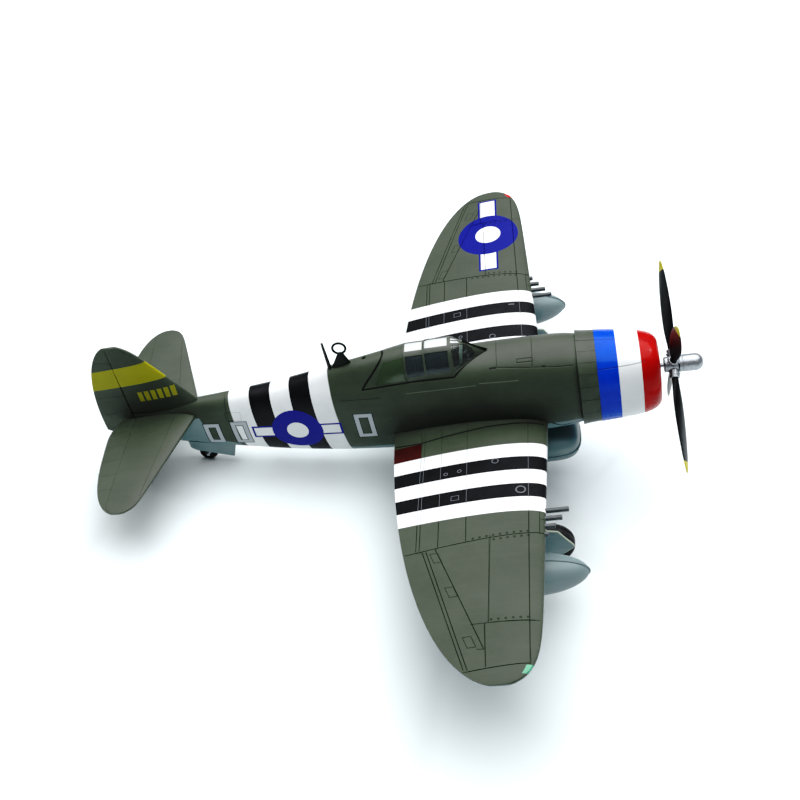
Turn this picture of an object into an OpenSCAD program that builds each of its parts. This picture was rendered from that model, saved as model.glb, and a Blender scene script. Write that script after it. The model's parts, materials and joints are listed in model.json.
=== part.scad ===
// Scale model of a radial-engined fighter aircraft, standing on its three wheels.
// Design frame: X forward with 0 at the tip of the propeller dome, Y to port, Z up and
// 0 on the thrust line.  stand() turns that frame into the resting, tail-down attitude.

/* [Wing] */
// Half of the wing span
half_span = 86.3; // [80:0.1:92]
// Wing chord ahead of the tip station, at the centre line
wing_fore = 12.85; // [11:0.05:14]
// Loss of that forward chord per millimetre of span
wing_fore_taper = 0.054; // [0.04:0.002:0.07]
// Wing chord behind the tip station, at the centre line
wing_aft = 26.2; // [24:0.1:28]
// Height of the wing chord plane at the centre line
wing_z = -8.6; // [-9.5:0.1:-8]
// Dihedral angle of the wing
dihedral = 5.04; // [4:0.02:6]
// Thickness to chord ratio at the root
wing_thick = 0.14; // [0.11:0.005:0.16]

/* [Tail] */
// Half of the tailplane span
stab_half_span = 34; // [30:0.5:37]
// Height of the tailplane
stab_z = 2.2; // [1.5:0.1:3]
// Height of the fin tip
fin_top = 26; // [23:0.5:28]
// Hinge line of the rudder
rudder_hinge_x = -144; // [-145:0.5:-143]

/* [Propeller] */
// Radius of the propeller
prop_radius = 27; // [24:0.5:27.5]
// Place of the propeller plane
prop_x = -7.2; // [-7.5:0.1:-6.9]
// Angle of the first blade above the horizontal
prop_angle = 31; // [0:1:89]
// Radius of the propeller shaft
shaft_r = 0.55; // [0.45:0.05:0.6]
// Radial running clearance of every rotating pin
running_gap = 0.05; // [0.02:0.01:0.08]

/* [Landing gear] */
// Distance from the centre line to the middle of a main wheel
half_track = 31.5; // [30:0.5:33]
// Radius of a main tyre
tyre_r = 6; // [5.5:0.1:6.4]
// Width of a main tyre
tyre_w = 3.6; // [3:0.1:4]
// Radius of the tail wheel
tail_wheel_r = 2.5; // [2.2:0.1:2.8]

/* [Stores] */
// Distance from the centre line to an underwing tank
tank_y = 47.7; // [46.5:0.1:49]
// Radius of an underwing tank
tank_r = 4.9; // [4.6:0.1:5.6]
// Length of an underwing tank
tank_len = 35; // [32:1:38]

/* [Hidden] */

olive = "#4b4c3c";
grey_blue = "#a9b7bd";
black = "#1c1d1f";
silver = "#b9bcc0";
glass = "#b9d0c4";
fine = 48;

// Resting attitude: the pitch at which the main wheels and the tail wheel share one plane
main_axle = [-41, half_track, -25.2];
tail_axle = [-128.7, 0, -12.9];
axle_run = main_axle.x - tail_axle.x;
axle_drop = tail_axle.z - main_axle.z;
pitch = asin((tyre_r - tail_wheel_r) / norm([axle_run, axle_drop])) + atan(axle_drop / axle_run);
ground = main_axle.x * sin(pitch) + main_axle.z * cos(pitch) - tyre_r;
box_centre_x = -75.7;

// Fuselage stations: place, half width, top and bottom of the section
STATIONS = [
    [-26, 8.5, 9.8, -11.7], [-33, 9.2, 11.0, -13.3], [-45, 9.0, 11.3, -14.8],
    [-60, 8.3, 11.2, -16.0], [-75, 7.6, 10.8, -16.4], [-90, 6.6, 9.7, -15.6],
    [-105, 5.4, 7.8, -13.7], [-120, 4.0, 6.3, -10.7], [-132, 2.8, 5.4, -8.0],
    [-144, 1.4, 4.2, -4.4]
];
wall = 1.1;
roundness = 2.3;
nose_x = -26;
tail_x = -144;
screen_tip_x = -51.2;
screen_top = [-56.8, 15.0];
hood_front_x = -59.6;
hood_rear_x = -71;
sill_y = 5.3;
spine_end_x = -108;
spine_rise = 3.9;
hood_rise = 4.3;
glass_t = 0.4;

// Flying surfaces: [half span, tip x, fore chord, fore taper, fore power,
//                   aft chord, aft power, root thickness, tip thickness]
WING = [half_span, -51, wing_fore, wing_fore_taper, 20, wing_aft, 2, wing_thick, 0.10];
STAB = [stab_half_span, -141.5, 15.1, 0.33, 24, 8.2, 4, 0.10, 0.08];
FIN = [fin_top, -143, 21.0, 0.66, 16, 10, 2, 0.09, 0.08];
wing_wall = 0.9;
root_y = 7.2;
edge_t = 0.15;
incidence = 1;

// Cowling profile: place and inset from the outer line, round the lip and back inside
COWL = [
    [-25.4, 0], [-20, 0.15], [-15.5, 0.45], [-13, 1.0], [-11.4, 1.9], [-10.6, 3.0],
    [-10.9, 3.7], [-12.5, 3.8], [-18, 2.6], [-25.4, 1.2]
];
cowl_back = [9.75, 10.6, -12.7];
cowl_front = [9.5, 9.4, -12.1];

cylinder_count = 9;
gun_y = 38.9;
gun_step = 2.43;
gun_muzzle_x = -35.1;
gun_stagger = 1.6;
tank_axis_z = -16.2;
tank_nose_x = -32.1;
belly_front_x = -31.3;
belly_len = 35;
belly_half_w = 7.8;
belly_seam_z = -20.3;
leg_y = half_track + 3.6;
axle_r = 0.6;
tail_axle_r = 0.4;

// ---------- Helpers ----------

function mix(a, b, t) = a + (b - a) * t;
function unit(t) = min(1, max(0, t));
function power(a, p) = a <= 0 ? 0 : pow(a, p);

// Smooth curve through a table of rows, each starting with its place along X
function row_at(table, x) =
    let (
        last = len(table) - 1,
        found = [for (k = [0 : last - 1]) if (x >= table[k + 1][0]) k],
        i = len(found) == 0 ? last - 1 : found[0],
        p = table[max(0, i - 1)],
        q = table[i],
        r = table[i + 1],
        s = table[min(last, i + 2)],
        t = unit((x - q[0]) / (r[0] - q[0]))
    )
    q + 0.5 * t * ((r - p) + t * ((2 * p - 5 * q + 4 * r - s) + t * (3 * q - p - 3 * r + s)));

// Closed shell between two grids of points, the outer one first; hole(row, column) leaves
// cells out, so that a frame with windows is one solid
module shell(outer, inner, hole = function(j, i) false) {
    rows = len(outer);
    cols = len(outer[0]);
    half = rows * cols;
    kept = function(j, i) j >= 0 && i >= 0 && j < rows - 1 && i < cols - 1 && !hole(j, i);
    faces = [
        for (j = [0 : rows - 2])
            for (i = [0 : cols - 2])
                let (a = j * cols + i, b = a + 1, c = a + cols, d = c + 1)
                if (kept(j, i))
                    each [
                        [a, b, d], [a, d, c],
                        [half + a, half + d, half + b], [half + a, half + c, half + d],
                        if (!kept(j - 1, i)) each rim(b, a, half),
                        if (!kept(j + 1, i)) each rim(c, d, half),
                        if (!kept(j, i - 1)) each rim(a, c, half),
                        if (!kept(j, i + 1)) each rim(d, b, half)
                    ]
    ];
    polyhedron(points = [for (r = outer) each r, for (r = inner) each r], faces = faces);
}

// The two triangles that close a shell along the edge from p to q
function rim(p, q, half) = [[p, q, half + q], [p, half + q, half + p]];

// Solid through a row of closed rings, with flat ends
module loft(rings) {
    size = len(rings[0]);
    count = len(rings);
    faces = [
        [for (i = [size - 1 : -1 : 0]) i],
        [for (i = [0 : size - 1]) (count - 1) * size + i],
        for (j = [0 : count - 2])
            for (i = [0 : size - 1])
                let (a = j * size + i, b = j * size + (i + 1) % size)
                each [[a, b, b + size], [a, b + size, a + size]]
    ];
    polyhedron(points = [for (r = rings) each r], faces = faces);
}

// Round bar from one point to another
module bar(p, q, r) {
    d = q - p;
    translate(p)
        rotate([0, acos(d.z / norm(d)), atan2(d.y, d.x)])
            cylinder(h = norm(d), r = r, $fn = 16);
}

// From the design frame to the resting attitude on the ground
module stand() {
    translate([-box_centre_x, 0, -ground])
        rotate([0, -pitch, 0])
            children();
}

// A rod or disc whose axis lies along X, from x1 back to x0
module along_x(x0, x1, r, r2 = undef) {
    translate([x0, 0, 0])
        rotate([0, 90, 0])
            cylinder(h = x1 - x0, r1 = r, r2 = is_undef(r2) ? r : r2, $fn = fine);
}

// ---------- Fuselage ----------

function middle_z(x) = -1 - 0.02 * max(0, -60 - x);
function spine_w(x) = mix(sill_y, 3.4, unit((-72 - x) / 36));
function spine_h(x) = spine_rise * power(unit((x - spine_end_x) / 37), 1.4);
function spine_power(x) = mix(0.75, 2.2, unit((-72 - x) / 20));
function bump(u, p) = power(1 - power(abs(u), 2.6), p);

// Point of the section at x; angle -90 is the keel, 0 the side and 90 the spine
function skin_point(x, angle, inset) =
    let (
        s = row_at(STATIONS, x),
        m = middle_z(x),
        c = abs(cos(angle)) < 1e-6 ? 0 : cos(angle),
        y = (s[1] - inset) * power(c, 2 / roundness),
        reach = angle > 0 ? s[2] - inset - m : m - s[3] - inset,
        ridge = x > hood_rear_x ? 0 : spine_h(x) * bump(y / spine_w(x), spine_power(x)),
        z = m + reach * sign(angle) * power(abs(sin(angle)), 2 / roundness)
    )
    [x, y, z + (angle > 0 ? ridge : 0)];

// Half width of the cockpit opening
function opening(x) =
    x > screen_tip_x || x <= hood_rear_x ? 0
    : mix(0.4, sill_y, unit((screen_tip_x - x) / (screen_tip_x - hood_front_x)));

function top_angle(x) =
    opening(x) == 0 ? 90 : acos(power(opening(x) / row_at(STATIONS, x)[1], roundness / 2));

function skin_grid(places, inset, steps) =
    [for (x = places) [for (i = [0 : steps]) skin_point(x, -90 + (top_angle(x) + 90) * i / steps, inset)]];

module fuselage_half() {
    places = [
        for (x = [nose_x : -6 : -50]) x,
        -51, -51.4, -55, -59.6, -65, -70.9, -71.1,
        for (x = [-75 : -6 : -141]) x,
        tail_x
    ];
    outer = skin_grid(places, 0, 12);
    inner = [for (x = places) skin_grid([x], min(wall, row_at(STATIONS, x)[1] * 0.45), 12)[0]];
    shell(outer, inner);
}

module fuselage_left() {
    color(olive)
        stand()
            fuselage_half();
}

module fuselage_right() {
    color(olive)
        stand()
            mirror([0, 1, 0])
                fuselage_half();
}

// ---------- Cowling and engine ----------

function cowl_ring(x, inset) =
    let (s = mix(cowl_back, cowl_front, unit((-25.4 - x) / -12)), m = -1)
    [for (a = [0 : 10 : 350])
        let (
            reach = sin(a) > 0 ? s[1] - inset - m : m - s[2] - inset,
            y = (s[0] - inset) * sign(cos(a)) * power(abs(cos(a)), 2 / roundness)
        )
        [x, y, m + reach * sign(sin(a)) * power(abs(sin(a)), 2 / roundness)]];

// Tube whose rings run out along the outside and back along the inside
module ring_tube(rings) {
    size = len(rings[0]);
    count = len(rings);
    faces = [
        for (j = [0 : count - 1])
            for (i = [0 : size - 1])
                let (
                    next = (j + 1) % count,
                    a = j * size + i,
                    b = j * size + (i + 1) % size,
                    c = next * size + (i + 1) % size,
                    d = next * size + i
                )
                each [[a, b, c], [a, c, d]]
    ];
    polyhedron(points = [for (r = rings) each r], faces = faces);
}

module cowling() {
    color("firebrick")
        stand()
            ring_tube([for (p = COWL) cowl_ring(p[0], p[1])]);
}

module cowl_flaps() {
    profile = [[-25.4, 0.9], [-25.4, 0.1], [-27.8, -0.05], [-29.9, -0.35], [-29.9, 0.05], [-27.8, 0.3]];
    color(olive)
        stand()
            ring_tube([for (k = [len(profile) - 1 : -1 : 0]) cowl_ring(profile[k][0], profile[k][1])]);
}

module firewall() {
    color(grey_blue)
        stand() {
            translate([0, 0, -1])
                along_x(-26, -25, 7.2);
            translate([-25.2, -3.2, -9.9])
                cube([10.4, 6.4, 0.6]);
            translate([-25.2, -0.3, -9.3])
                cube([10.4, 0.6, 2.6]);
        }
}

module crankcase() {
    color("gray")
        stand()
            difference() {
                union() {
                    along_x(-25, -15.5, 3.0);
                    along_x(-15.6, -12.6, 2.8, 1.6);
                    along_x(-12.7, -11.6, 1.2);
                }
                along_x(-25.5, -11, shaft_r + running_gap);
            }
}

module cylinder_row(x, offset) {
    for (k = [0 : cylinder_count - 1])
        rotate([k * 360 / cylinder_count + offset, 0, 0])
            translate([x, 0, 0]) {
                translate([0, 0, 2.95])
                    cylinder(h = 2.6, r = 0.85, $fn = fine);
                for (fin_z = [3.3 : 0.55 : 4.95])
                    translate([0, 0, fin_z])
                        cylinder(h = 0.25, r = 1.02, $fn = fine);
                translate([-0.8, -0.9, 5.4])
                    cube([1.6, 1.8, 0.7]);
            }
}

// The front row carries the two pushrod tubes of each cylinder
module cylinders_front() {
    color("dimgray")
        stand() {
            cylinder_row(-17.5, 0);
            for (k = [0 : cylinder_count - 1])
                rotate([k * 360 / cylinder_count, 0, 0])
                    for (side = [-1, 1])
                        bar([-14.9, side * 0.45, 2.6], [-16.9, side * 0.6, 5.6], 0.18);
        }
}

module cylinders_rear() {
    color("dimgray")
        stand()
            cylinder_row(-21.5, 180 / cylinder_count);
}

module ignition_ring() {
    color("goldenrod")
        stand()
            translate([-14.6, 0, 0])
                rotate([0, 90, 0])
                    rotate_extrude($fn = fine)
                        translate([3.6, 0])
                            circle(r = 0.28, $fn = 16);
}

// ---------- Propeller ----------

module prop_shaft() {
    color(silver)
        stand() {
            along_x(-24.5, prop_x - 2.2, shaft_r);
            along_x(-10.9, -10.2, 1.0);
        }
}

dome_r = 2.1;
dome_cap = 2;
dome_back = 3.9;

module prop_hub() {
    dome = [for (a = [90 : -9 : 0]) [dome_r * cos(a), dome_cap * sin(a)]];
    color(silver)
        stand() {
            along_x(prop_x - 2.2, prop_x + 1.3, 1.9);
            translate([-dome_cap, 0, 0])
                rotate([0, 90, 0])
                    rotate_extrude($fn = fine)
                        polygon([[0, dome_cap], each [for (p = dome) if (p.x > 0.01) p],
                            [dome_r, -dome_back], [0, -dome_back]]);
            for (k = [0 : 3])
                rotate([prop_angle - 90 + k * 90, 0, 0])
                    translate([prop_x, 0, 1.7])
                        difference() {
                            cylinder(h = 1.9, r = 1.25, $fn = fine);
                            translate([0, 0, 0.6])
                                cylinder(h = 1.9, r = 0.9, $fn = fine);
                        }
        }
}

// Blade stations: radius, half chord, half thickness and pitch angle
BLADE = [
    [2.4, 0.9, 0.9, 50], [4.2, 0.9, 0.85, 50], [6.5, 1.3, 0.6, 46], [9.5, 1.75, 0.45, 40],
    [14, 2.1, 0.36, 33], [19, 2.1, 0.3, 27], [23, 1.75, 0.25, 23], [25.6, 1.1, 0.2, 21],
    [26.6, 0.65, 0.18, 20], [27, 0.25, 0.15, 20]
];

// One blade along +Z: each ring is an ellipse with its own chord, thickness and pitch angle
module blade_shape() {
    loft([
        for (b = BLADE)
            [for (a = [0 : 30 : 330])
                let (w = b[1] * cos(a), t = b[2] * sin(a), scale = prop_radius / BLADE[9][0])
                [w * sin(b[3]) + t * cos(b[3]), t * sin(b[3]) - w * cos(b[3]), b[0] * scale]]
    ]);
}

module blade(k) {
    color(black)
        stand()
            rotate([prop_angle - 90 + k * 90, 0, 0])
                translate([prop_x, 0, 0])
                    blade_shape();
}

// ---------- Cockpit ----------

module cockpit_tub() {
    color("darkolivegreen")
        stand()
            difference() {
                translate([-70.6, -4.2, 0])
                    cube([16.6, 8.4, 7.6]);
                translate([-70, -3.6, 0.6])
                    cube([15.4, 7.2, 8]);
            }
}

module seat() {
    color("dimgray")
        stand() {
            translate([-69, -2.1, 2.4])
                cube([4, 4.2, 0.6]);
            translate([-69.6, -2.1, 2.4])
                cube([0.6, 4.2, 6.4]);
            for (side = [-1, 1])
                translate([-69, side * 2.1 - 0.3, 3])
                    cube([3.6, 0.6, 1.4]);
            translate([-67.4, -0.5, 0.6])
                cube([1, 1, 1.8]);
        }
}

module head_armour() {
    color("darkolivegreen")
        stand()
            translate([-70.4, 0, 7.4])
                rotate([90, 0, 90])
                    linear_extrude(0.5) {
                        translate([-2, 0])
                            square([4, 4.4]);
                        translate([0, 4.4])
                            circle(r = 2, $fn = fine);
                    }
}

module instrument_panel() {
    color(black)
        stand()
            translate([-56.6, 0, 3.2])
                rotate([90, 0, 90])
                    linear_extrude(0.6)
                        difference() {
                            translate([-3.4, 0])
                                square([6.8, 6]);
                            for (k = [-1 : 1])
                                translate([k * 2, 4.2])
                                    circle(r = 0.7, $fn = 24);
                        }
}

module control_stick() {
    color(black)
        stand() {
            bar([-61.5, 0, 0.6], [-62.5, 0, 5.4], 0.3);
            translate([-62.5, 0, 5.6])
                sphere(r = 0.55, $fn = 24);
        }
}

module gunsight() {
    color(black)
        stand() {
            translate([-57.4, -0.6, 9.2])
                cube([1.6, 1.2, 1.2]);
            bar([-56.6, 0, 10.3], [-56.6, 0, 11.4], 0.45);
            translate([-57, -0.6, 11.4])
                rotate([0, -35, 0])
                    cube([0.2, 1.2, 1.4]);
        }
}

// ---------- Canopy ----------

// Height of the hood rise along its length
function hood_h(x) = mix(hood_rise - 0.25, spine_rise + 0.15, unit((-66 - x) / 5)) +
    (x > -66 ? 0.25 * unit((x + 72) / 6) : 0);

// Point of the hood: across runs from -1 at the starboard sill to 1 at the port sill
function hood_point(x, across, inset) =
    let (
        s = row_at(STATIONS, x),
        m = middle_z(x),
        y = (sill_y - inset) * sin(90 * across),
        body = power(1 - power(abs(y) / s[1], roundness), 1 / roundness)
    )
    [x, y, m + (s[2] - m) * body - inset + (hood_h(x)) * bump(y / sill_y, 0.75)];

frame_w = 0.8;
frame_proud = 0.1;
rail = 0.78;
hood_mid_x = -65.6;
bay_1 = [hood_front_x - frame_w, hood_mid_x + frame_w / 2];
bay_2 = [hood_mid_x - frame_w / 2, hood_rear_x + frame_w];
hood_acrosses = [-1, for (i = [-5 : 5]) rail * i / 5, 1];

function hood_grid(places, acrosses, inset) =
    [for (x = places) [for (a = acrosses) hood_point(x, a, inset)]];

// The panes fill the two bays between the hoops and the rails
module canopy_glass() {
    panes = [for (i = [1 : len(hood_acrosses) - 2]) hood_acrosses[i]];
    color(glass, 0.5)
        stand()
            for (bay = [bay_1, bay_2])
                shell(hood_grid(bay, panes, 0), hood_grid(bay, panes, glass_t));
}

module canopy_frame() {
    places = [hood_front_x, each bay_1, each bay_2, hood_rear_x];
    last = len(hood_acrosses) - 2;
    color(olive)
        stand()
            shell(hood_grid(places, hood_acrosses, -frame_proud),
                hood_grid(places, hood_acrosses, glass_t + 0.05),
                function(j, i) j % 2 == 1 && i > 0 && i < last);
}

// The pointed windscreen: two flat panes run from the front post back to the first hoop
function screen_point(across, along, inset) =
    let (
        hoop = hood_point(hood_front_x, across, inset),
        lift = 1 - abs(across),
        x = mix(screen_tip_x, screen_top[0], lift) - inset,
        post = [x, 0.35 * sign(across), mix(10.9, screen_top[1], lift) - inset * 0.6]
    )
    mix(post, hoop, along);

function screen_grid(alongs, acrosses, inset) =
    [for (v = alongs) [for (a = acrosses) screen_point(a, v, inset)]];

screen_alongs = [0, 0.08, 0.92, 1];
screen_side = [1, 0.88, 0.7, 0.5, 0.3, 0.12, 0.02];

module windscreen_glass() {
    alongs = [screen_alongs[1], screen_alongs[2]];
    acrosses = [for (i = [1 : 5]) screen_side[i]];
    color(glass, 0.5)
        stand()
            for (side = [0, 1])
                mirror([0, side, 0])
                    mirror([0, 1, 0])
                        shell(screen_grid(alongs, -acrosses, 0), screen_grid(alongs, -acrosses, glass_t));
}

module windscreen_frame() {
    acrosses = [each -screen_side, for (i = [6 : -1 : 0]) screen_side[i]];
    color(olive)
        stand()
            shell(screen_grid(screen_alongs, acrosses, -frame_proud),
                screen_grid(screen_alongs, acrosses, glass_t + 0.05),
                function(j, i) j == 1 && i != 0 && i != 5 && i != 6 && i != 7 && i != 12);
}

// Side windows let into the fairing behind the hood
module rear_windows() {
    color(glass)
        stand()
            for (side = [0, 1])
                mirror([0, side, 0])
                    shell(window_grid(0.12), window_grid(-0.2));
}

function window_grid(out) =
    [for (x = [-71.4, -73.4, -75.4, -77.4])
        [for (a = [52 : 5 : 72]) skin_point(x, a, -out)]];

module antenna_mast() {
    color(olive)
        stand()
            translate([-90.1, 0, 10.6])
                rotate([0, -1.5, 0])
                    cylinder(h = 8.5, r1 = 0.5, r2 = 0.3, $fn = 24);
}

loop_z = 17;
loop_r = 1.6;

// The loop stands fore and aft on a small fairing
module loop_antenna() {
    color(black)
        stand() {
            hull() {
                translate([-89.6, -0.5, 11.2])
                    cube([5.4, 1, 0.2]);
                translate([-87.3, -0.3, 15])
                    cube([1.6, 0.6, 0.3]);
            }
            translate([-86.5, 0, loop_z])
                rotate([90, 0, 0])
                    rotate_extrude($fn = fine)
                        translate([loop_r, 0])
                            circle(r = 0.3, $fn = 16);
        }
}

// ---------- Flying surfaces ----------

function reach(s, y) = unit(abs(y) / s[0]);
function lead_x(s, y) = s[1] + (s[2] - s[3] * y) * sqrt(1 - power(reach(s, y), s[4]));
function trail_x(s, y) = s[1] - s[5] * sqrt(1 - power(reach(s, y), s[6]));

// Half thickness of the section at a fraction of its chord
function section(f) =
    5 * (0.2969 * sqrt(f) - 0.126 * f - 0.3516 * f * f + 0.2843 * pow(f, 3) - 0.1036 * pow(f, 4));
function thickness(s, y, f) =
    (lead_x(s, y) - trail_x(s, y)) * mix(s[7], s[8], reach(s, y)) * section(f);

function chord_plane(x, y) = wing_z + y * tan(dihedral) + (x - WING[1]) * tan(incidence);
function wing_point(y, f, side, inset) =
    let (
        x = mix(lead_x(WING, y), trail_x(WING, y), f),
        full = edge_t + thickness(WING, y, f) * (side > 0 ? 1.1 : 0.9)
    )
    [x, y, chord_plane(x, y) + side * (inset == 0 ? full : max(0, full - inset))];

fractions = [for (a = [0 : 18 : 180]) (1 - cos(a)) / 2];
wing_ys = [for (u = [0 : 15]) mix(root_y, half_span * 0.997, sin(u * 6))];

module wing_half(side) {
    outer = [for (y = wing_ys) [for (f = fractions) wing_point(y, f, side, 0)]];
    inner = [for (y = wing_ys) [for (f = fractions) wing_point(y, f, side, wing_wall)]];
    if (side > 0)
        shell(outer, inner);
    else
        shell([for (r = outer) [for (k = [len(r) - 1 : -1 : 0]) r[k]]],
            [for (r = inner) [for (k = [len(r) - 1 : -1 : 0]) r[k]]]);
}

module wing_upper_left() {
    color(olive)
        stand()
            wing_half(1);
}

module wing_lower_left() {
    color(grey_blue)
        stand()
            wing_half(-1);
}

module wing_upper_right() {
    color(olive)
        stand()
            mirror([0, 1, 0])
                wing_half(1);
}

module wing_lower_right() {
    color(grey_blue)
        stand()
            mirror([0, 1, 0])
                wing_half(-1);
}

module surface_loft(s, ys, f0, f1) {
    loft([
        for (y = ys)
            let (
                fs = [for (a = [0 : 20 : 180]) mix(f0(y), f1(y), (1 - cos(a)) / 2)],
                up = [for (f = fs) [mix(lead_x(s, y), trail_x(s, y), f), y, edge_t + thickness(s, y, f)]]
            )
            [each [for (k = [0 : len(up) - 1]) up[k]],
                each [for (k = [len(up) - 1 : -1 : 0]) [up[k].x, up[k].y, -up[k].z]]]
    ]);
}

// The trailing edge is cut away beside the rudder
stab_back = function(y) 1 - 0.11 * pow(1 - unit((y - 1.6) / 7), 2);

module stabilizer() {
    ys = [for (u = [0 : 10]) mix(1.6, stab_half_span * 0.995, sin(u * 9))];
    translate([0, 0, stab_z])
        surface_loft(STAB, ys, function(y) 0, stab_back);
}

module stabilizer_left() {
    color(olive)
        stand()
            stabilizer();
}

module stabilizer_right() {
    color(olive)
        stand()
            mirror([0, 1, 0])
                stabilizer();
}

// Fraction of the fin chord at which the rudder hinge lies
function hinge_f(y) = (lead_x(FIN, y) - rudder_hinge_x) / (lead_x(FIN, y) - trail_x(FIN, y));

// The fin is a flying surface stood on edge
module upright() {
    multmatrix([[1, 0, 0, 0], [0, 0, -1, 0], [0, 1, 0, 0], [0, 0, 0, 1]])
        children();
}

module fin() {
    ys = [for (u = [0 : 9]) mix(4.4, fin_top * 0.985, sin(u * 10))];
    color(olive)
        stand()
            upright()
                surface_loft(FIN, ys, function(y) 0, function(y) hinge_f(y) - 0.004);
}

module rudder() {
    ys = [-2, -1.2, 0.5, for (u = [1 : 9]) mix(0.5, fin_top * 0.985, sin(u * 10))];
    color(olive)
        stand()
            upright()
                surface_loft(FIN, ys, function(y) hinge_f(y) + 0.004, function(y) y < -1.5 ? 0.95 : 1);
}

// ---------- Guns and lights ----------

module gun_set() {
    for (k = [0 : 3]) {
        y = gun_y + k * gun_step;
        x = gun_muzzle_x - k * gun_stagger;
        back = lead_x(WING, y) - 1.2;
        translate([0, y, chord_plane(x, y)])
            difference() {
                along_x(back, x, 0.58);
                along_x(x - 1.5, x + 1, 0.32);
            }
    }
}

module gun_barrels_left() {
    color("dimgray")
        stand()
            gun_set();
}

module gun_barrels_right() {
    color("dimgray")
        stand()
            mirror([0, 1, 0])
                gun_set();
}

module tip_light() {
    translate([-46, 83.2, chord_plane(-46, 83.2)])
        sphere(r = 0.85, $fn = 32);
}

module tip_light_left() {
    color("red")
        stand()
            tip_light();
}

module tip_light_right() {
    color("green")
        stand()
            mirror([0, 1, 0])
                tip_light();
}

// ---------- Stores ----------

// Radius of a tank at a fraction of its length from the nose
function tank_radius(f, r) = r * power(sin(180 * power(f, 0.72)), 0.7);

// Closed outline from one side of it
function both_sides(side) = [each side, for (k = [len(side) - 2 : -1 : 1]) [-side[k].x, side[k].y]];

// One side of an underwing tank, with half of the welded seam that runs round it
module tank_side() {
    steps = [for (k = [0 : 16]) (1 - cos(k * 180 / 16)) / 2];
    outline = [for (f = steps) [tank_radius(f, tank_r), -f * tank_len]];
    inside = [for (f = steps) [tank_radius(f, tank_r - 0.7), -0.8 - f * (tank_len - 1.6)]];
    rim = [for (f = steps) [tank_radius(f, tank_r + 0.35), 0.35 - f * (tank_len + 0.7)]];
    translate([tank_nose_x, tank_y, tank_axis_z])
        rotate([0, 90, 0]) {
            rotate_extrude(angle = 180, $fn = fine)
                polygon([each outline, each [for (k = [len(inside) - 1 : -1 : 0]) inside[k]]]);
            rotate([-90, 0, 0])
                linear_extrude(0.15)
                    mirror([0, 1])
                        difference() {
                            polygon(both_sides(rim));
                            polygon(both_sides(inside));
                        }
        }
}

module tank_outer() {
    tank_side();
}

module tank_inner() {
    translate([0, 2 * tank_y, 0])
        mirror([0, 1, 0])
            tank_side();
}

module tank_left_outer() {
    color(grey_blue)
        stand()
            tank_outer();
}

module tank_left_inner() {
    color(grey_blue)
        stand()
            tank_inner();
}

module tank_right_outer() {
    color(grey_blue)
        stand()
            mirror([0, 1, 0])
                tank_outer();
}

module tank_right_inner() {
    color(grey_blue)
        stand()
            mirror([0, 1, 0])
                tank_inner();
}

// Streamlined pylon between the wing and its tank
module pylon() {
    low = tank_axis_z + tank_r - 0.5;
    high = chord_plane(-50, tank_y) - 1.2;
    translate([-42.5, tank_y, low])
        linear_extrude(high - low)
            polygon([each [for (f = fractions) [-16 * f, 16 * 0.16 * section(f)]],
                each [for (k = [len(fractions) - 2 : -1 : 1])
                    [-16 * fractions[k], -16 * 0.16 * section(fractions[k])]]]);
}

module pylon_left() {
    color(grey_blue)
        stand()
            pylon();
}

module pylon_right() {
    color(grey_blue)
        stand()
            mirror([0, 1, 0])
                pylon();
}

// Blunt, flat belly tank; each half is a shell that meets the other on the seam
function belly_point(f, across, height, inset) =
    let (
        s = power(1 - power(abs(2 * f - 1), 8), 0.35),
        w = (belly_half_w - inset) * max(0.02, s),
        h = (height - inset) * max(0.02, s)
    )
    [belly_front_x - inset - f * (belly_len - 2 * inset),
        w * sign(sin(90 * across)) * power(abs(sin(90 * across)), 0.7),
        h * power(cos(90 * across), 0.7)];

function belly_grid(height, inset) =
    [for (k = [0 : 12]) [for (i = [-6 : 6]) belly_point((1 - cos(k * 15)) / 2, i / 6, height, inset)]];

module belly_half(height) {
    shell(belly_grid(height, 0), belly_grid(height, 0.8));
}

module belly_tank_upper() {
    color(grey_blue)
        stand()
            translate([0, 0, belly_seam_z])
                belly_half(4.6);
}

module belly_tank_lower() {
    color(grey_blue)
        stand()
            translate([0, 0, belly_seam_z])
                mirror([0, 0, 1])
                    belly_half(3.5);
}

// ---------- Landing gear ----------

// Leg, wheel boss and axle, with the folded torque link as a flat plate behind the leg
module main_strut() {
    top = [-46, leg_y, chord_plane(-46, leg_y) - 1.8];
    knee = [mix(top.x, main_axle.x, 0.55), leg_y, mix(top.z, main_axle.z, 0.55)];
    foot = [main_axle.x, leg_y, main_axle.z];
    bar(top, knee, 1.15);
    bar(knee, foot, 0.8);
    translate([foot.x, leg_y + 1.1, foot.z])
        rotate([90, 0, 0])
            cylinder(h = 2.0, r = 1.25, $fn = fine);
    translate([foot.x, leg_y, foot.z])
        rotate([90, 0, 0])
            cylinder(h = 5.4, r = axle_r, $fn = fine);
    translate([0, leg_y + 0.4, 0])
        rotate([90, 0, 0])
            linear_extrude(0.8)
                polygon([
                    [knee.x, knee.z + 1.2], [knee.x - 3.2, knee.z - 2.7], [foot.x - 0.3, foot.z + 1.0],
                    [foot.x - 0.3, foot.z + 1.9], [knee.x - 2.3, knee.z - 2.6], [knee.x, knee.z + 0.3]
                ]);
}

module strut_left() {
    color(silver)
        stand()
            main_strut();
}

module strut_right() {
    color(silver)
        stand()
            mirror([0, 1, 0])
                main_strut();
}

// Side view of a main gear door: it hangs from the wing and widens in front of the wheel
DOOR = [
    [-49, -7.8], [-42.2, -7.6], [-41, -14.5], [-38.4, -15.1], [-37, -17.4], [-35.4, -19.8],
    [-34.9, -20.8], [-37.4, -22.9], [-39.6, -23.6], [-43, -23.4], [-46.6, -21.8], [-49, -18.4]
];

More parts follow.
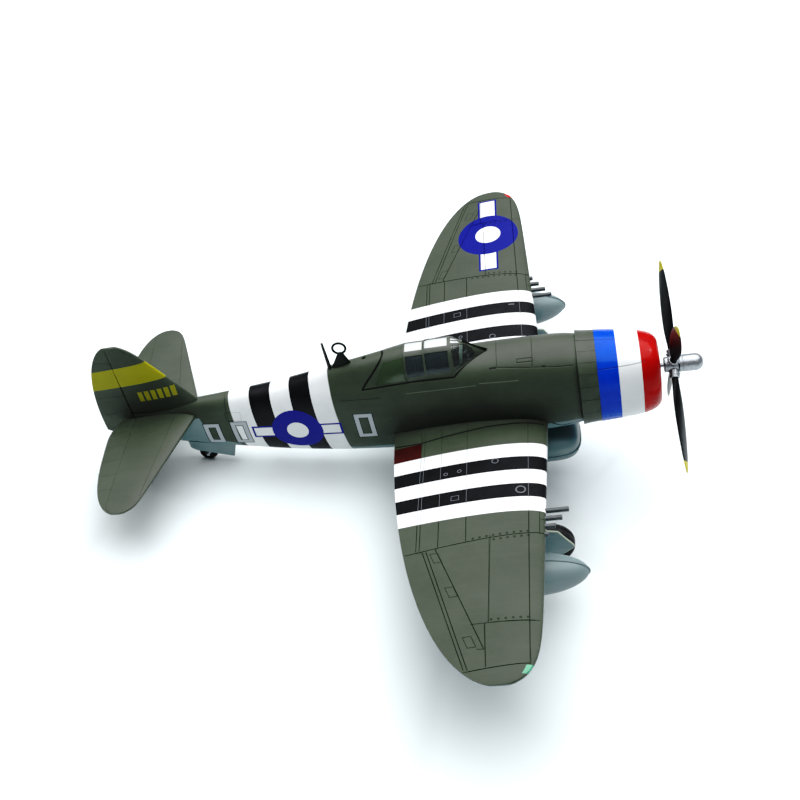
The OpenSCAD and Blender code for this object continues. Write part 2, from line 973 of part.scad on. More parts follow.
// Door on the outboard side of the leg
module gear_door() {
    translate([0, leg_y + 1.75, 0])
        rotate([90, 0, 0])
            linear_extrude(0.5)
                polygon(DOOR);
}

module gear_door_left() {
    color(grey_blue)
        stand()
            gear_door();
}

module gear_door_right() {
    color(grey_blue)
        stand()
            mirror([0, 1, 0])
                gear_door();
}

module wheel_hub() {
    translate(main_axle)
        rotate([90, 0, 0])
            difference() {
                translate([0, 0, -1.5])
                    cylinder(h = 3, r = 3.4, $fn = fine);
                translate([0, 0, -2])
                    cylinder(h = 4, r = axle_r + running_gap, $fn = fine);
                for (side = [-1, 1])
                    translate([0, 0, side * 1.5 - 0.4])
                        difference() {
                            cylinder(h = 0.8, r = 2.8, $fn = fine);
                            translate([0, 0, -1])
                                cylinder(h = 3, r = 1.2, $fn = fine);
                        }
            }
}

module wheel_tyre() {
    bulge = 1.3;
    translate(main_axle)
        rotate([90, 0, 0])
            rotate_extrude($fn = 96)
                difference() {
                    union() {
                        translate([3.4, -tyre_w / 2])
                            square([tyre_r - 3.4 - bulge, tyre_w]);
                        for (side = [-1, 1])
                            translate([tyre_r - bulge, side * (tyre_w / 2 - bulge)])
                                circle(r = bulge, $fn = 32);
                        translate([tyre_r - bulge, -(tyre_w / 2 - bulge)])
                            square([bulge, tyre_w - 2 * bulge]);
                    }
                    translate([0, -5])
                        square([3.4, 10]);
                }
}

module hub_left() {
    color(silver)
        stand()
            wheel_hub();
}

module hub_right() {
    color(silver)
        stand()
            mirror([0, 1, 0])
                wheel_hub();
}

module tyre_left() {
    color(black)
        stand()
            wheel_tyre();
}

module tyre_right() {
    color(black)
        stand()
            mirror([0, 1, 0])
                wheel_tyre();
}

module tail_strut() {
    color(silver)
        stand() {
            bar([-124.2, 0, -8.6], [-126.2, 0, -10], 0.6);
            translate([-126.9, -1.6, -10.7])
                cube([1.4, 3.2, 0.7]);
            for (side = [-1, 1])
                bar([-126.2, side * 1.3, -10.4], [tail_axle.x, side * 1.3, tail_axle.z], 0.3);
            translate([tail_axle.x, 1.6, tail_axle.z])
                rotate([90, 0, 0])
                    cylinder(h = 3.2, r = tail_axle_r, $fn = fine);
        }
}

module tail_wheel() {
    color(black)
        stand()
            translate(tail_axle)
                rotate([90, 0, 0])
                    rotate_extrude($fn = 64)
                        difference() {
                            union() {
                                translate([tail_axle_r + running_gap, -0.75])
                                    square([1.1, 1.5]);
                                translate([1.4, -0.5])
                                    square([0.6, 1]);
                                translate([tail_wheel_r - 0.85, 0])
                                    circle(r = 0.85, $fn = 32);
                            }
                            translate([-1, -2])
                                square([1 + tail_axle_r + running_gap, 4]);
                        }
}

module tail_door() {
    translate([0, 2.4, 0])
        rotate([90, 0, 0])
            linear_extrude(0.4)
                polygon([[-132, -6.4], [-132, -8.8], [-130.8, -9.9], [-121.4, -13.5], [-119.9, -9.2]]);
}

module tail_door_left() {
    color(grey_blue)
        stand()
            tail_door();
}

module tail_door_right() {
    color(grey_blue)
        stand()
            mirror([0, 1, 0])
                tail_door();
}

fuselage_left();
fuselage_right();
cowling();
cowl_flaps();
firewall();
crankcase();
cylinders_front();
cylinders_rear();
ignition_ring();
cockpit_tub();
seat();
head_armour();
instrument_panel();
control_stick();
gunsight();
windscreen_glass();
windscreen_frame();
canopy_glass();
canopy_frame();
rear_windows();
antenna_mast();
loop_antenna();
wing_upper_left();
wing_upper_right();
wing_lower_left();
wing_lower_right();
gun_barrels_left();
gun_barrels_right();
tip_light_left();
tip_light_right();
tank_left_inner();
tank_left_outer();
tank_right_inner();
tank_right_outer();
pylon_left();
pylon_right();
belly_tank_upper();
belly_tank_lower();
strut_left();
strut_right();
gear_door_left();
gear_door_right();
hub_left();
hub_right();
tyre_left();
tyre_right();
tail_strut();
tail_wheel();
tail_door_left();
tail_door_right();
stabilizer_left();
stabilizer_right();
fin();
rudder();
prop_shaft();
prop_hub();
blade(0);  // blade_1
blade(1);  // blade_2
blade(2);  // blade_3
blade(3);  // blade_4
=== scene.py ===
import json
import math

import bmesh
import bpy
import numpy as np
from mathutils import Matrix, Vector


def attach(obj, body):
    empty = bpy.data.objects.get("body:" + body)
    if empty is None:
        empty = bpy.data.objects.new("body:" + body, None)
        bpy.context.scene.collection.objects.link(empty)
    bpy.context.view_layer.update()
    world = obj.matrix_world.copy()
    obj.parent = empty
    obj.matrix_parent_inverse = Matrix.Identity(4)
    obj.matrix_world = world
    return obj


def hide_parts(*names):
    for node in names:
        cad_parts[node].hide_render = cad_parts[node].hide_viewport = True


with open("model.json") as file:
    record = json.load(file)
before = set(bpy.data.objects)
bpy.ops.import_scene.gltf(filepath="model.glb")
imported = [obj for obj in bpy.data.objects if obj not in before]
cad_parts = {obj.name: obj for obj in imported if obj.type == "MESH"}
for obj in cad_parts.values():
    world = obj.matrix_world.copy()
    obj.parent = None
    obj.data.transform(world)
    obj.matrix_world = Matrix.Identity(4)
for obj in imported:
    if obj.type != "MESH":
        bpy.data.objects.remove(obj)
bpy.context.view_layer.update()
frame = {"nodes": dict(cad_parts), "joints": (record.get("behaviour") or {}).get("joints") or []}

# ------------------------------------------------------------------ frames
# The shapes are drawn in a level frame: millimetres, x forward from the tip of the
# propeller dome, y to port, z up from the thrust line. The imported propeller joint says
# how that frame stands in the row frame.

MM = 0.001
PROP_X = -7.2
JOINTS = {j["name"]: j for j in frame["joints"]}
THRUST = Vector(JOINTS["propeller_spin"]["axis"]).normalized()
ORIGIN = Vector(JOINTS["propeller_spin"]["pos_m"]) - THRUST * (PROP_X * MM)
PITCH = math.atan2(THRUST.z, THRUST.x)


def place(points):
    """Level millimetres to metres in the row frame."""
    p = np.asarray(points, float) * MM
    c, s = math.cos(PITCH), math.sin(PITCH)
    turned = np.column_stack([p[:, 0] * c - p[:, 2] * s, p[:, 1], p[:, 0] * s + p[:, 2] * c])
    return turned + np.array(ORIGIN)


def turn(vector):
    """Turns a direction of the level frame into the row frame."""
    return Matrix.Rotation(-PITCH, 3, "Y") @ Vector(vector)


# ------------------------------------------------------------------ small maths


def mix(a, b, t):
    return a + (b - a) * t


def unit(t):
    return np.clip(t, 0.0, 1.0)


def smooth(t):
    t = unit(t)
    return t * t * (3 - 2 * t)


def cosine(count):
    """Fractions from 0 to 1, close together at both ends."""
    return (1 - np.cos(np.linspace(0, math.pi, count))) / 2


def toward_tip(root, tip, count):
    """Places from the root to the tip, closer together toward the tip."""
    return [mix(root, tip, math.sin(math.radians(a))) for a in np.linspace(0, 90, count)]


def circle(count):
    return np.linspace(0, 2 * math.pi, count, endpoint=False)


def row_at(table, x):
    """Catmull-Rom through a table of rows, each starting with its place along x."""
    last = len(table) - 1
    i = next((k for k in range(last) if x >= table[k + 1][0]), last - 1)
    p, q, r, s = (np.array(table[k], float) for k in (max(0, i - 1), i, i + 1, min(last, i + 2)))
    t = unit((x - q[0]) / (r[0] - q[0]))
    return q + 0.5 * t * ((r - p) + t * ((2 * p - 5 * q + 4 * r - s) + t * (3 * q - p - 3 * r + s)))


# ------------------------------------------------------------------ solids
# A solid is (points, faces): points in level millimetres, faces as lists of indices.


def volume(points, faces):
    total = 0.0
    for f in faces:
        a = points[f[0]]
        for k in range(1, len(f) - 1):
            total += float(np.dot(a, np.cross(points[f[k]], points[f[k + 1]])))
    return total


def outward(points, faces):
    """The same solid with its faces turned outward."""
    points = np.asarray(points, float)
    if volume(points - points.mean(0), faces) < 0:
        faces = [f[::-1] for f in faces]
    return points, faces


def shell(outer, inner, hole=None):
    """Closed wall between two grids of points; hole(row, column) leaves cells out."""
    outer, inner = np.asarray(outer, float), np.asarray(inner, float)
    rows, cols = outer.shape[:2]
    half = rows * cols

    def kept(j, i):
        inside = 0 <= j < rows - 1 and 0 <= i < cols - 1
        return inside and not (hole and hole(j, i))

    faces = []
    for j in range(rows - 1):
        for i in range(cols - 1):
            if not kept(j, i):
                continue
            a = j * cols + i
            b, c, d = a + 1, a + cols, a + cols + 1
            faces.append([a, b, d, c])
            faces.append([half + c, half + d, half + b, half + a])
            sides = (((j - 1, i), b, a), ((j + 1, i), c, d), ((j, i - 1), a, c), ((j, i + 1), d, b))
            for there, p, q in sides:
                if not kept(*there):
                    faces.append([p, q, half + q, half + p])
    return outward(np.concatenate([outer.reshape(-1, 3), inner.reshape(-1, 3)]), faces)


def loft(rings, around=False):
    """Solid through a row of closed rings; around=True joins the last ring to the first."""
    rings = np.asarray(rings, float)
    count, size = rings.shape[:2]
    faces = []
    for j in range(count if around else count - 1):
        k = (j + 1) % count
        for i in range(size):
            n = (i + 1) % size
            faces.append([j * size + i, j * size + n, k * size + n, k * size + i])
    if not around:
        faces.append(list(range(size))[::-1])
        faces.append([(count - 1) * size + i for i in range(size)])
    return outward(rings.reshape(-1, 3), faces)


def frame_for(direction):
    """Two unit vectors square to a direction."""
    d = np.asarray(direction, float) / np.linalg.norm(direction)
    other = np.array([0.0, 0.0, 1.0]) if abs(d[2]) < 0.9 else np.array([0.0, 1.0, 0.0])
    u = np.cross(d, other)
    u /= np.linalg.norm(u)
    return u, np.cross(d, u)


def lathe(profile, start, direction, steps=48, turn_from=0.0, turn_to=360.0):
    """Turned solid: profile rows are (distance along, radius), out along the skin and back
    along the inside if it is hollow. A part turn leaves flat ends."""
    d = np.asarray(direction, float) / np.linalg.norm(direction)
    u, v = frame_for(d)
    full = turn_to - turn_from >= 360
    angles = np.radians(np.linspace(turn_from, turn_to, steps + 1))
    if full:
        angles = angles[:-1]
    profile = np.asarray(profile, float)
    rings = [
        np.asarray(start) + profile[:, :1] * d + profile[:, 1:2] * (math.cos(a) * u + math.sin(a) * v)
        for a in angles
    ]
    return loft(rings, around=full)


def tube(path, radius, sides=16):
    """Round bar along a path; radius may be one number or one for each point."""
    path = np.asarray(path, float)
    radii = np.broadcast_to(np.asarray(radius, float), (len(path),))
    tangents = np.gradient(path, axis=0)
    u, v = frame_for(tangents[0])
    rings = []
    for p, t, r in zip(path, tangents, radii):
        t = t / np.linalg.norm(t)
        u = u - t * np.dot(u, t)
        u /= np.linalg.norm(u)
        v = np.cross(t, u)
        rings.append([p + r * (math.cos(a) * u + math.sin(a) * v) for a in circle(sides)])
    return loft(rings)


def rod(p, q, r, r2=None, soft=0.08, sides=24):
    """Round bar from p to q with softened ends."""
    p, q = np.asarray(p, float), np.asarray(q, float)
    r2 = r if r2 is None else r2
    length = float(np.linalg.norm(q - p))
    near_end = [(0, AXIS_R), (0, r - soft), (soft, r)]
    far_end = [(length - soft, r2), (length, r2 - soft), (length, AXIS_R)]
    return lathe(near_end + far_end, p, q - p, sides)


def plate(outline, thickness, base, across, up, soft=0.06):
    """Flat plate: outline points (a, b) along two directions, with softened edges."""
    outline = np.asarray(outline, float)
    across, up = np.asarray(across, float), np.asarray(up, float)
    normal = np.cross(across, up)
    centre = outline.mean(0)
    reach = np.linalg.norm(outline - centre, axis=1, keepdims=True)
    smaller = centre + (outline - centre) * (1 - soft * 1.4 / reach)
    rings = []
    for flat, height in ((smaller, 0), (outline, soft), (outline, thickness - soft), (smaller, thickness)):
        rings.append(np.asarray(base) + flat[:, :1] * across + flat[:, 1:2] * up + height * normal)
    return loft(rings)


def rounded(corners, radius=0.5, steps=4):
    """Closed outline with its corners rounded."""
    corners = np.asarray(corners, float)
    points = []
    for k, corner in enumerate(corners):
        before, after = corners[k - 1] - corner, corners[(k + 1) % len(corners)] - corner
        limit = 0.45 * min(np.linalg.norm(before), np.linalg.norm(after))
        r = min(radius, limit)
        a = corner + before / np.linalg.norm(before) * r
        b = corner + after / np.linalg.norm(after) * r
        for t in np.linspace(0, 1, steps + 1):
            points.append((1 - t) ** 2 * a + 2 * t * (1 - t) * corner + t * t * b)
    return np.array(points)


def mirrored(solid, y=0.0):
    """The solid on the other side of a plane at y."""
    points, faces = solid
    return points * np.array([1, -1, 1]) + np.array([0, 2 * y, 0]), [f[::-1] for f in faces]


def shifted(solid, move):
    return solid[0] + np.asarray(move, float), solid[1]


def sided(solids, side):
    """The solids as drawn for port (+1), or mirrored for starboard (-1)."""
    return solids if side > 0 else [mirrored(s) for s in solids]


def piece(name, solids, body, slot, material, replaces=(), sharp=36, inner=None, is_inner=None):
    """Makes one named piece from solids, riding on a body and standing for CAD nodes. The
    faces that is_inner(face) picks take the inner material."""
    points, faces, start = [], [], 0
    for p, f in solids:
        points.append(p)
        faces.extend([[i + start for i in face] for face in f])
        start += len(p)
    mesh = bpy.data.meshes.new(name)
    mesh.from_pydata(place(np.concatenate(points)).tolist(), [], faces)
    mesh.materials.append(material)
    if inner is not None:
        mesh.materials.append(inner)
        mesh.polygons.foreach_set("material_index", [int(is_inner(f)) for f in faces])
    tidy = bmesh.new()
    tidy.from_mesh(mesh)
    bmesh.ops.remove_doubles(tidy, verts=tidy.verts, dist=WELD * MM)
    bmesh.ops.dissolve_degenerate(tidy, edges=tidy.edges, dist=WELD * MM)
    tidy.to_mesh(mesh)
    tidy.free()
    mesh.shade_smooth()
    mesh.set_sharp_from_angle(angle=math.radians(sharp))
    obj = bpy.data.objects.new(name, mesh)
    bpy.context.scene.collection.objects.link(obj)
    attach(obj, body)
    if replaces:
        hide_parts(*replaces)


def fixed(name, solids, slot, material, node, **more):
    """A piece of the airframe that stands for one CAD node."""
    piece(name, solids, "airframe", slot, material, [node], **more)


def both(name, solids, slot, material, node, body="airframe", **more):
    """A port piece and its mirror image; {} stands for left or right in every name."""
    for side, word in SIDES:
        piece(
            name.format(word), sided(solids, side), body.format(word), slot, material,
            [node.format(word)], **more,
        )


SIDES = ((1, "left"), (-1, "right"))
WELD = 0.002
AXIS_R = 0.01

# ------------------------------------------------------------------ dimensions
# Fuselage stations: place, half width, top and bottom of the section
STATIONS = [
    [-26, 8.5, 9.8, -11.7], [-33, 9.2, 11.0, -13.3], [-45, 9.0, 11.3, -14.8],
    [-60, 8.3, 11.2, -16.0], [-75, 7.6, 10.8, -16.4], [-90, 6.6, 9.7, -15.6],
    [-105, 5.4, 7.8, -13.7], [-120, 4.0, 6.3, -10.7], [-132, 2.8, 5.4, -8.0],
    [-144, 1.4, 4.2, -4.4],
]
ROUNDNESS = 2.3
NOSE_X, TAIL_X = -26, -144
SKIN_T = 1.1
SCREEN_TIP_X = -51.2
SCREEN_TOP = (-56.8, 15.0)
POST_FOOT_Z = 10.9
HOOD_FRONT_X, HOOD_REAR_X = -59.6, -71
SILL_Y = 5.3
GLASS_T = 0.4
PANE_INSET = 0.02
FRAME_PROUD, FRAME_DEPTH = 0.1, GLASS_T + 0.05
SPINE_END_X = -108
SPINE_RISE = 3.9


class Surface:
    """Wing, stabilizer or fin: half span or height, place of the tip, fore chord with its
    taper, aft chord, the powers of the two outlines, and thickness at root and tip."""

    def __init__(self, span, tip_x, fore, taper, fore_power, aft, aft_power, root_t, tip_t):
        self.span, self.tip_x, self.fore, self.taper = span, tip_x, fore, taper
        self.fore_power, self.aft, self.aft_power = fore_power, aft, aft_power
        self.root_t, self.tip_t = root_t, tip_t

    def reach(self, y):
        return unit(np.abs(y) / self.span)

    def lead(self, y):
        return self.tip_x + (self.fore - self.taper * y) * np.sqrt(1 - self.reach(y) ** self.fore_power)

    def trail(self, y):
        return self.tip_x - self.aft * np.sqrt(1 - self.reach(y) ** self.aft_power)

    def half_thickness(self, y, f):
        chord = self.lead(y) - self.trail(y)
        return chord * mix(self.root_t, self.tip_t, self.reach(y)) * section(f)


def section(f):
    """Half thickness of the aerofoil along its chord."""
    f = np.asarray(f, float)
    return 5 * (0.2969 * np.sqrt(f) - 0.126 * f - 0.3516 * f**2 + 0.2843 * f**3 - 0.1036 * f**4)


WING = Surface(86.3, -51, 12.85, 0.054, 20, 26.2, 2, 0.14, 0.10)
STAB = Surface(34, -141.5, 15.1, 0.33, 24, 8.2, 4, 0.10, 0.08)
FIN = Surface(26, -143, 21.0, 0.66, 16, 10, 2, 0.09, 0.08)
EDGE_T = 0.15
WING_Z = -8.6
DIHEDRAL = math.tan(math.radians(5.04))
INCIDENCE = math.tan(math.radians(1))
WING_ROOT_Y = 7.2
WING_WALL = 0.9
STAB_Z = 2.2
RUDDER_HINGE_X = -144
PROP_ANGLE = 31
MAIN_AXLE = np.array([-41, 31.5, -25.2])
TAIL_AXLE = np.array([-128.7, 0, -12.9])
TANK_Y, TANK_R, TANK_LEN, TANK_NOSE_X, TANK_Z = 47.7, 4.9, 35, -32.1, -16.2
BELLY_X, BELLY_LEN, BELLY_W, BELLY_Z = -31.3, 35, 7.8, -20.3
LEG_Y = 35.1
# Side view of a main gear door
DOOR = [
    (-49, -7.8), (-42.2, -7.6), (-41, -14.5), (-38.4, -15.1), (-37, -17.4), (-35.4, -19.8),
    (-34.9, -20.8), (-37.4, -22.9), (-39.6, -23.6), (-43, -23.4), (-46.6, -21.8), (-49, -18.4),
]

# ------------------------------------------------------------------ painting
# Materials are built from shader terms in the level frame, so markings are given in
# millimetres of the model.


class Term:
    """A number that varies over a surface, with ordinary arithmetic."""

    def __init__(self, tree, socket):
        self.tree, self.socket = tree, socket

    def run(self, operation, *others):
        node = self.tree.nodes.new("ShaderNodeMath")
        node.operation = operation
        for entry, value in zip(node.inputs, (self, *others)):
            if isinstance(value, Term):
                self.tree.links.new(value.socket, entry)
            else:
                entry.default_value = float(value)
        return Term(self.tree, node.outputs[0])

    def __add__(self, other):
        return self.run("ADD", other)

    def __sub__(self, other):
        return self.run("SUBTRACT", other)

    def __mul__(self, other):
        return self.run("MULTIPLY", other)

    def __truediv__(self, other):
        return self.run("DIVIDE", other)

    def __pow__(self, other):
        return self.run("POWER", other)

    __radd__ = __add__
    __rmul__ = __mul__

    def __rsub__(self, other):
        return self * -1 + other

    def abs(self):
        return self.run("ABSOLUTE")

    def least(self, other):
        return self.run("MINIMUM", other)

    def most(self, other):
        return self.run("MAXIMUM", other)

    def root(self):
        return self.run("SQRT")

    def over(self, edge, soft=0.05):
        """0 below the edge and 1 above it, with a soft step between."""
        node = self.tree.nodes.new("ShaderNodeMapRange")
        node.interpolation_type = "SMOOTHSTEP"
        self.tree.links.new(self.socket, node.inputs[0])
        node.inputs[1].default_value = edge - soft
        node.inputs[2].default_value = edge + soft
        return Term(self.tree, node.outputs[0])

    def between(self, low, high, soft=0.05):
        """1 between two values, 0 outside them."""
        return ((self - (low + high) / 2).abs() * -1).over(-(high - low) / 2, soft)


class Paint:
    """One material: terms for the level coordinates, layers of colour, and its finish."""

    def __init__(self, name):
        self.material = bpy.data.materials.new(name)
        self.material.use_nodes = True
        self.tree = self.material.node_tree
        self.shader = self.tree.nodes["Principled BSDF"]
        self.place = self.level_point()
        split = self.tree.nodes.new("ShaderNodeSeparateXYZ")
        self.tree.links.new(self.place, split.inputs[0])
        self.x, self.y, self.z = (Term(self.tree, split.outputs[k]) for k in range(3))

    def vector(self, operation, first, second):
        node = self.tree.nodes.new("ShaderNodeVectorMath")
        node.operation = operation
        self.tree.links.new(first, node.inputs[0])
        if operation == "SCALE":
            node.inputs["Scale"].default_value = second
        else:
            node.inputs[1].default_value = second
        return node.outputs[0]

    def level_point(self):
        coordinates = self.tree.nodes.new("ShaderNodeTexCoord")
        from_tip = self.vector("SUBTRACT", coordinates.outputs["Object"], tuple(ORIGIN))
        turned = self.tree.nodes.new("ShaderNodeVectorRotate")
        turned.rotation_type = "Y_AXIS"
        turned.inputs["Angle"].default_value = PITCH
        self.tree.links.new(from_tip, turned.inputs["Vector"])
        return self.vector("SCALE", turned.outputs[0], 1 / MM)

    def noise(self, scale, detail=3.0, rough=0.55, stretch=(1, 1, 1)):
        """Noise from 0 to 1; scale counts its lumps per millimetre."""
        node = self.tree.nodes.new("ShaderNodeTexNoise")
        node.inputs["Scale"].default_value = scale
        node.inputs["Detail"].default_value = detail
        node.inputs["Roughness"].default_value = rough
        where = self.place if stretch == (1, 1, 1) else self.vector("MULTIPLY", self.place, stretch)
        self.tree.links.new(where, node.inputs["Vector"])
        return Term(self.tree, node.outputs["Fac"])

    def blend(self, mask, below, above):
        """Colour that is below where the mask is 0 and above where it is 1."""
        node = self.tree.nodes.new("ShaderNodeMix")
        node.data_type = "RGBA"
        for entry, value in ((node.inputs[0], mask), (node.inputs[6], below), (node.inputs[7], above)):
            if isinstance(value, Term):
                self.tree.links.new(value.socket, entry)
            elif isinstance(value, bpy.types.NodeSocket):
                self.tree.links.new(value, entry)
            elif isinstance(value, (int, float)):
                entry.default_value = value
            else:
                entry.default_value = (*value, 1)
        return node.outputs[2]

    def mottled(self, colour, depth=0.12, scale=0.12):
        """A paint colour that drifts a little lighter and darker, as sprayed paint does."""
        drift = self.noise(scale, 4, 0.6).over(0.5, 0.28)
        speckle = self.noise(2.6, 2, 0.5).over(0.5, 0.3)
        dark = tuple(c * (1 - depth) for c in colour)
        light = tuple(c * (1 + depth) for c in colour)
        broad = self.blend(drift, dark, light)
        return self.blend(speckle * (depth * 0.9), broad, tuple(min(1, c * 1.35 + 0.004) for c in colour))

    def stroke(self, u, v, p, q, width):
        """How deep a point lies inside a straight stroke from p to q; below 0 is outside."""
        along = np.subtract(q, p).astype(float)
        length = float(np.hypot(*along))
        du, dv = along / length
        run = u * du + v * dv - (p[0] * du + p[1] * dv + length / 2)
        off = u * -dv + v * du + (p[0] * dv - p[1] * du)
        return (run.abs() * -1 + length / 2).least(off.abs() * -1 + width / 2)

    def ring(self, u, v, centre, radius, width):
        reach = self.distance(u, v, centre)
        return (reach - radius).abs() * -1 + width / 2

    def box_line(self, u, v, centre, half, width):
        far = ((u - centre[0]).abs() - half[0]).most((v - centre[1]).abs() - half[1])
        return far.abs() * -1 + width / 2

    def box(self, u, v, low, high):
        """How deep a point lies inside a rectangle."""
        deep_u = (u - (low[0] + high[0]) / 2).abs() * -1 + (high[0] - low[0]) / 2
        deep_v = (v - (low[1] + high[1]) / 2).abs() * -1 + (high[1] - low[1]) / 2
        return deep_u.least(deep_v)

    def distance(self, u, v, centre):
        return ((u - centre[0]) ** 2 + (v - centre[1]) ** 2).root()

    def deepest(self, depths):
        total = depths[0]
        for d in depths[1:]:
            total = total.most(d)
        return total

    def dots(self, u, v, start, step, count, row, radius):
        """A row of dots along u at v = row."""
        place_in = (u - start) / step
        nearest = place_in.run("ROUND").most(0).least(count - 1)
        off_u = (place_in - nearest) * step
        return ((off_u**2 + (v - row) ** 2).root() * -1) + radius

    def finish(self, colour, rough=0.5, drift=0.08, grain=0.25, groove=None, groove_depth=0.1, **fixed):
        """Links colour, uneven roughness and a fine bump; fixed sets the shader's own sockets."""
        uneven = self.noise(0.35, 4, 0.6)
        roughness = (uneven - 0.5) * (2 * drift) + rough
        height = self.noise(3.2, 3, 0.6) * grain + self.noise(0.5, 2, 0.5) * (grain * 0.7)
        if groove is not None:
            height = height - groove * (groove_depth / BUMP_MM)
        bump = self.tree.nodes.new("ShaderNodeBump")
        bump.inputs["Distance"].default_value = BUMP_MM * MM
        self.tree.links.new(height.socket, bump.inputs["Height"])
        self.tree.links.new(colour, self.shader.inputs["Base Color"])
        self.tree.links.new(roughness.socket, self.shader.inputs["Roughness"])
        self.tree.links.new(bump.outputs[0], self.shader.inputs["Normal"])
        for name, value in fixed.items():
            self.shader.inputs[SOCKETS[name]].default_value = value
        return self.material


BUMP_MM = 0.1
SOCKETS = {
    "metallic": "Metallic",
    "coat": "Coat Weight",
    "coat_rough": "Coat Roughness",
    "specular": "Specular IOR Level",
    "transmission": "Transmission Weight",
    "ior": "IOR",
}

OLIVE = (0.060, 0.071, 0.055)
GREY_BLUE = (0.155, 0.22, 0.23)
WHITE = (0.80, 0.82, 0.83)
BLACK = (0.007, 0.008, 0.010)
BLUE = (0.002, 0.060, 0.52)
INSIGNIA_BLUE = (0.008, 0.012, 0.22)
RED = (0.40, 0.006, 0.006)
YELLOW = (0.30, 0.29, 0.008)
WALKWAY = (0.050, 0.010, 0.009)
LETTER_GREY = (0.42, 0.47, 0.50)
GRIME = (0.07, 0.10, 0.11)
INK_ON_OLIVE = (0.010, 0.012, 0.009)
INK_ON_BLACK = (0.20, 0.21, 0.23)
INK_ON_WHITE = (0.50, 0.53, 0.56)

# Bands round each wing: black ones between white ones, from the root outward
WING_BAND = (17.3, 39.9)
WING_BLACKS = ((21.9, 26.4), (31.0, 35.4))
# Bands round the rear fuselage
BODY_BAND = (-117.6, -90.5)
BODY_BLACKS = ((-112.0, -106.4), (-101.1, -95.7))

# Engraved lines of a wing as (x, |y|) ends
SPAR = ((-43.5, 17.4), (-44.9, 82.0))
MIDLINE = ((-52.7, 46.8), (-53.2, 70.8))
TIP_MIDLINE = ((-54.0, 71.0), (-53.8, 81.8))
FLAP_FRONT = ((-58.2, 17.4), (-58.2, 47.6))
FLAP_MIDDLE = ((-64.6, 17.4), (-64.6, 48.0))
FLAP_HINGE = ((-68.9, 17.4), (-68.9, 48.3))
FLAP_HINGE_2 = ((-69.7, 17.4), (-69.7, 48.3))
AILERON_FRONT = ((-65.2, 48.3), (-54.2, 77.4))
AILERON_HINGE = ((-67.3, 48.6), (-57.6, 82.1))
AILERON_HINGE_2 = ((-68.2, 48.5), (-58.4, 82.0))
RIB_IN = ((-73.0, 48.9), (-40.7, 46.6))
RIB_OUT = ((-56.9, 71.0), (-42.6, 71.25))
RIB_TIP = ((-58.6, 82.5), (-44.9, 81.7))
WING_LINES = (
    SPAR, MIDLINE, TIP_MIDLINE, FLAP_FRONT, FLAP_MIDDLE, FLAP_HINGE, FLAP_HINGE_2,
    AILERON_FRONT, AILERON_HINGE, AILERON_HINGE_2, RIB_IN, RIB_OUT, RIB_TIP,
    ((-53.9, 77.6), (-55.6, 77.4)), ((-41.6, 40.2), (-41.8, 47.0)), ((-41.6, 42.4), (-39.6, 42.2)),
)
LINE_W = 0.18
AILERON_SLOPE = 0.38
BAR_EDGE, SPOT_SHARE = 0.55, 0.42
# Outboard edge of the fillet at the wing root, from the trailing edge forward
ROOT_SEAM = ((-76.8, 11.1), (-70.3, 11.8), (-64.1, 11.1), (-53.6, 10.1), (-44.7, 9.9), (-39.6, 10.1))


def wing_ink(p, y, port):
    """Depth inside the engraved lines, hatches and caps of a wing."""
    depths = [p.stroke(p.x, y, a, b, LINE_W) for a, b in WING_LINES]
    for centre in ((-64.9, 51.2), (-61.2, 61.6), (-57.2, 75.4)):
        lean = (y - centre[1]) * -AILERON_SLOPE + p.x
        depths.append(p.box_line(lean, y, centre, (0.9, 1.4), 0.16))
    depths.append(p.box_line(p.x, y, (-60.9, 33.4), (0.9, 0.7), 0.16))
    if port:
        depths.append(p.stroke(p.x, y, (-46.8, 34.4), (-45.2, 34.4), 0.4))
    else:
        depths.append(p.ring(p.x, y, (-45.6, 33.1), 1.05, 0.34))
    depths.append(p.ring(p.x, y, (-51.4, 22.8), 0.75, 0.22))
    depths.append(p.ring(p.x, y, (-63.3, 24.8), 0.45, 0.2))
    depths.append(p.ring(p.x, y, (-60.0, 24.5), 0.45, 0.2))
    return p.deepest(depths)


def wing_rivets(p, y):
    rib = (p.x + 40.7) * -0.0712 + y * -1 + 46.6
    rows = [
        p.dots(p.x, rib, -56.6, 1.53, 9, 0.62, 0.31),
        p.dots(p.x, rib, -51.9, 1.53, 6, -0.72, 0.31),
        p.dots(p.x, y, -52.6, 1.53, 6, 70.35, 0.29),
    ]
    return p.deepest(rows)


def insignia(p, colour, u, v, centre, radius, bars, half):
    """Plain roundel: blue disc with a white middle, and white bars edged in blue."""
    for edge, tone in ((0, INSIGNIA_BLUE), (BAR_EDGE, WHITE)):
        low = (bars[0] + edge, centre[1] - half + edge)
        high = (bars[1] - edge, centre[1] + half - edge)
        colour = p.blend(p.box(u, v, low, high).over(0), colour, tone)
    for reach, tone in ((radius, INSIGNIA_BLUE), (radius * SPOT_SHARE, WHITE)):
        disc = p.distance(u, v, centre) * -1 + reach
        colour = p.blend(disc.over(0), colour, tone)
    return colour


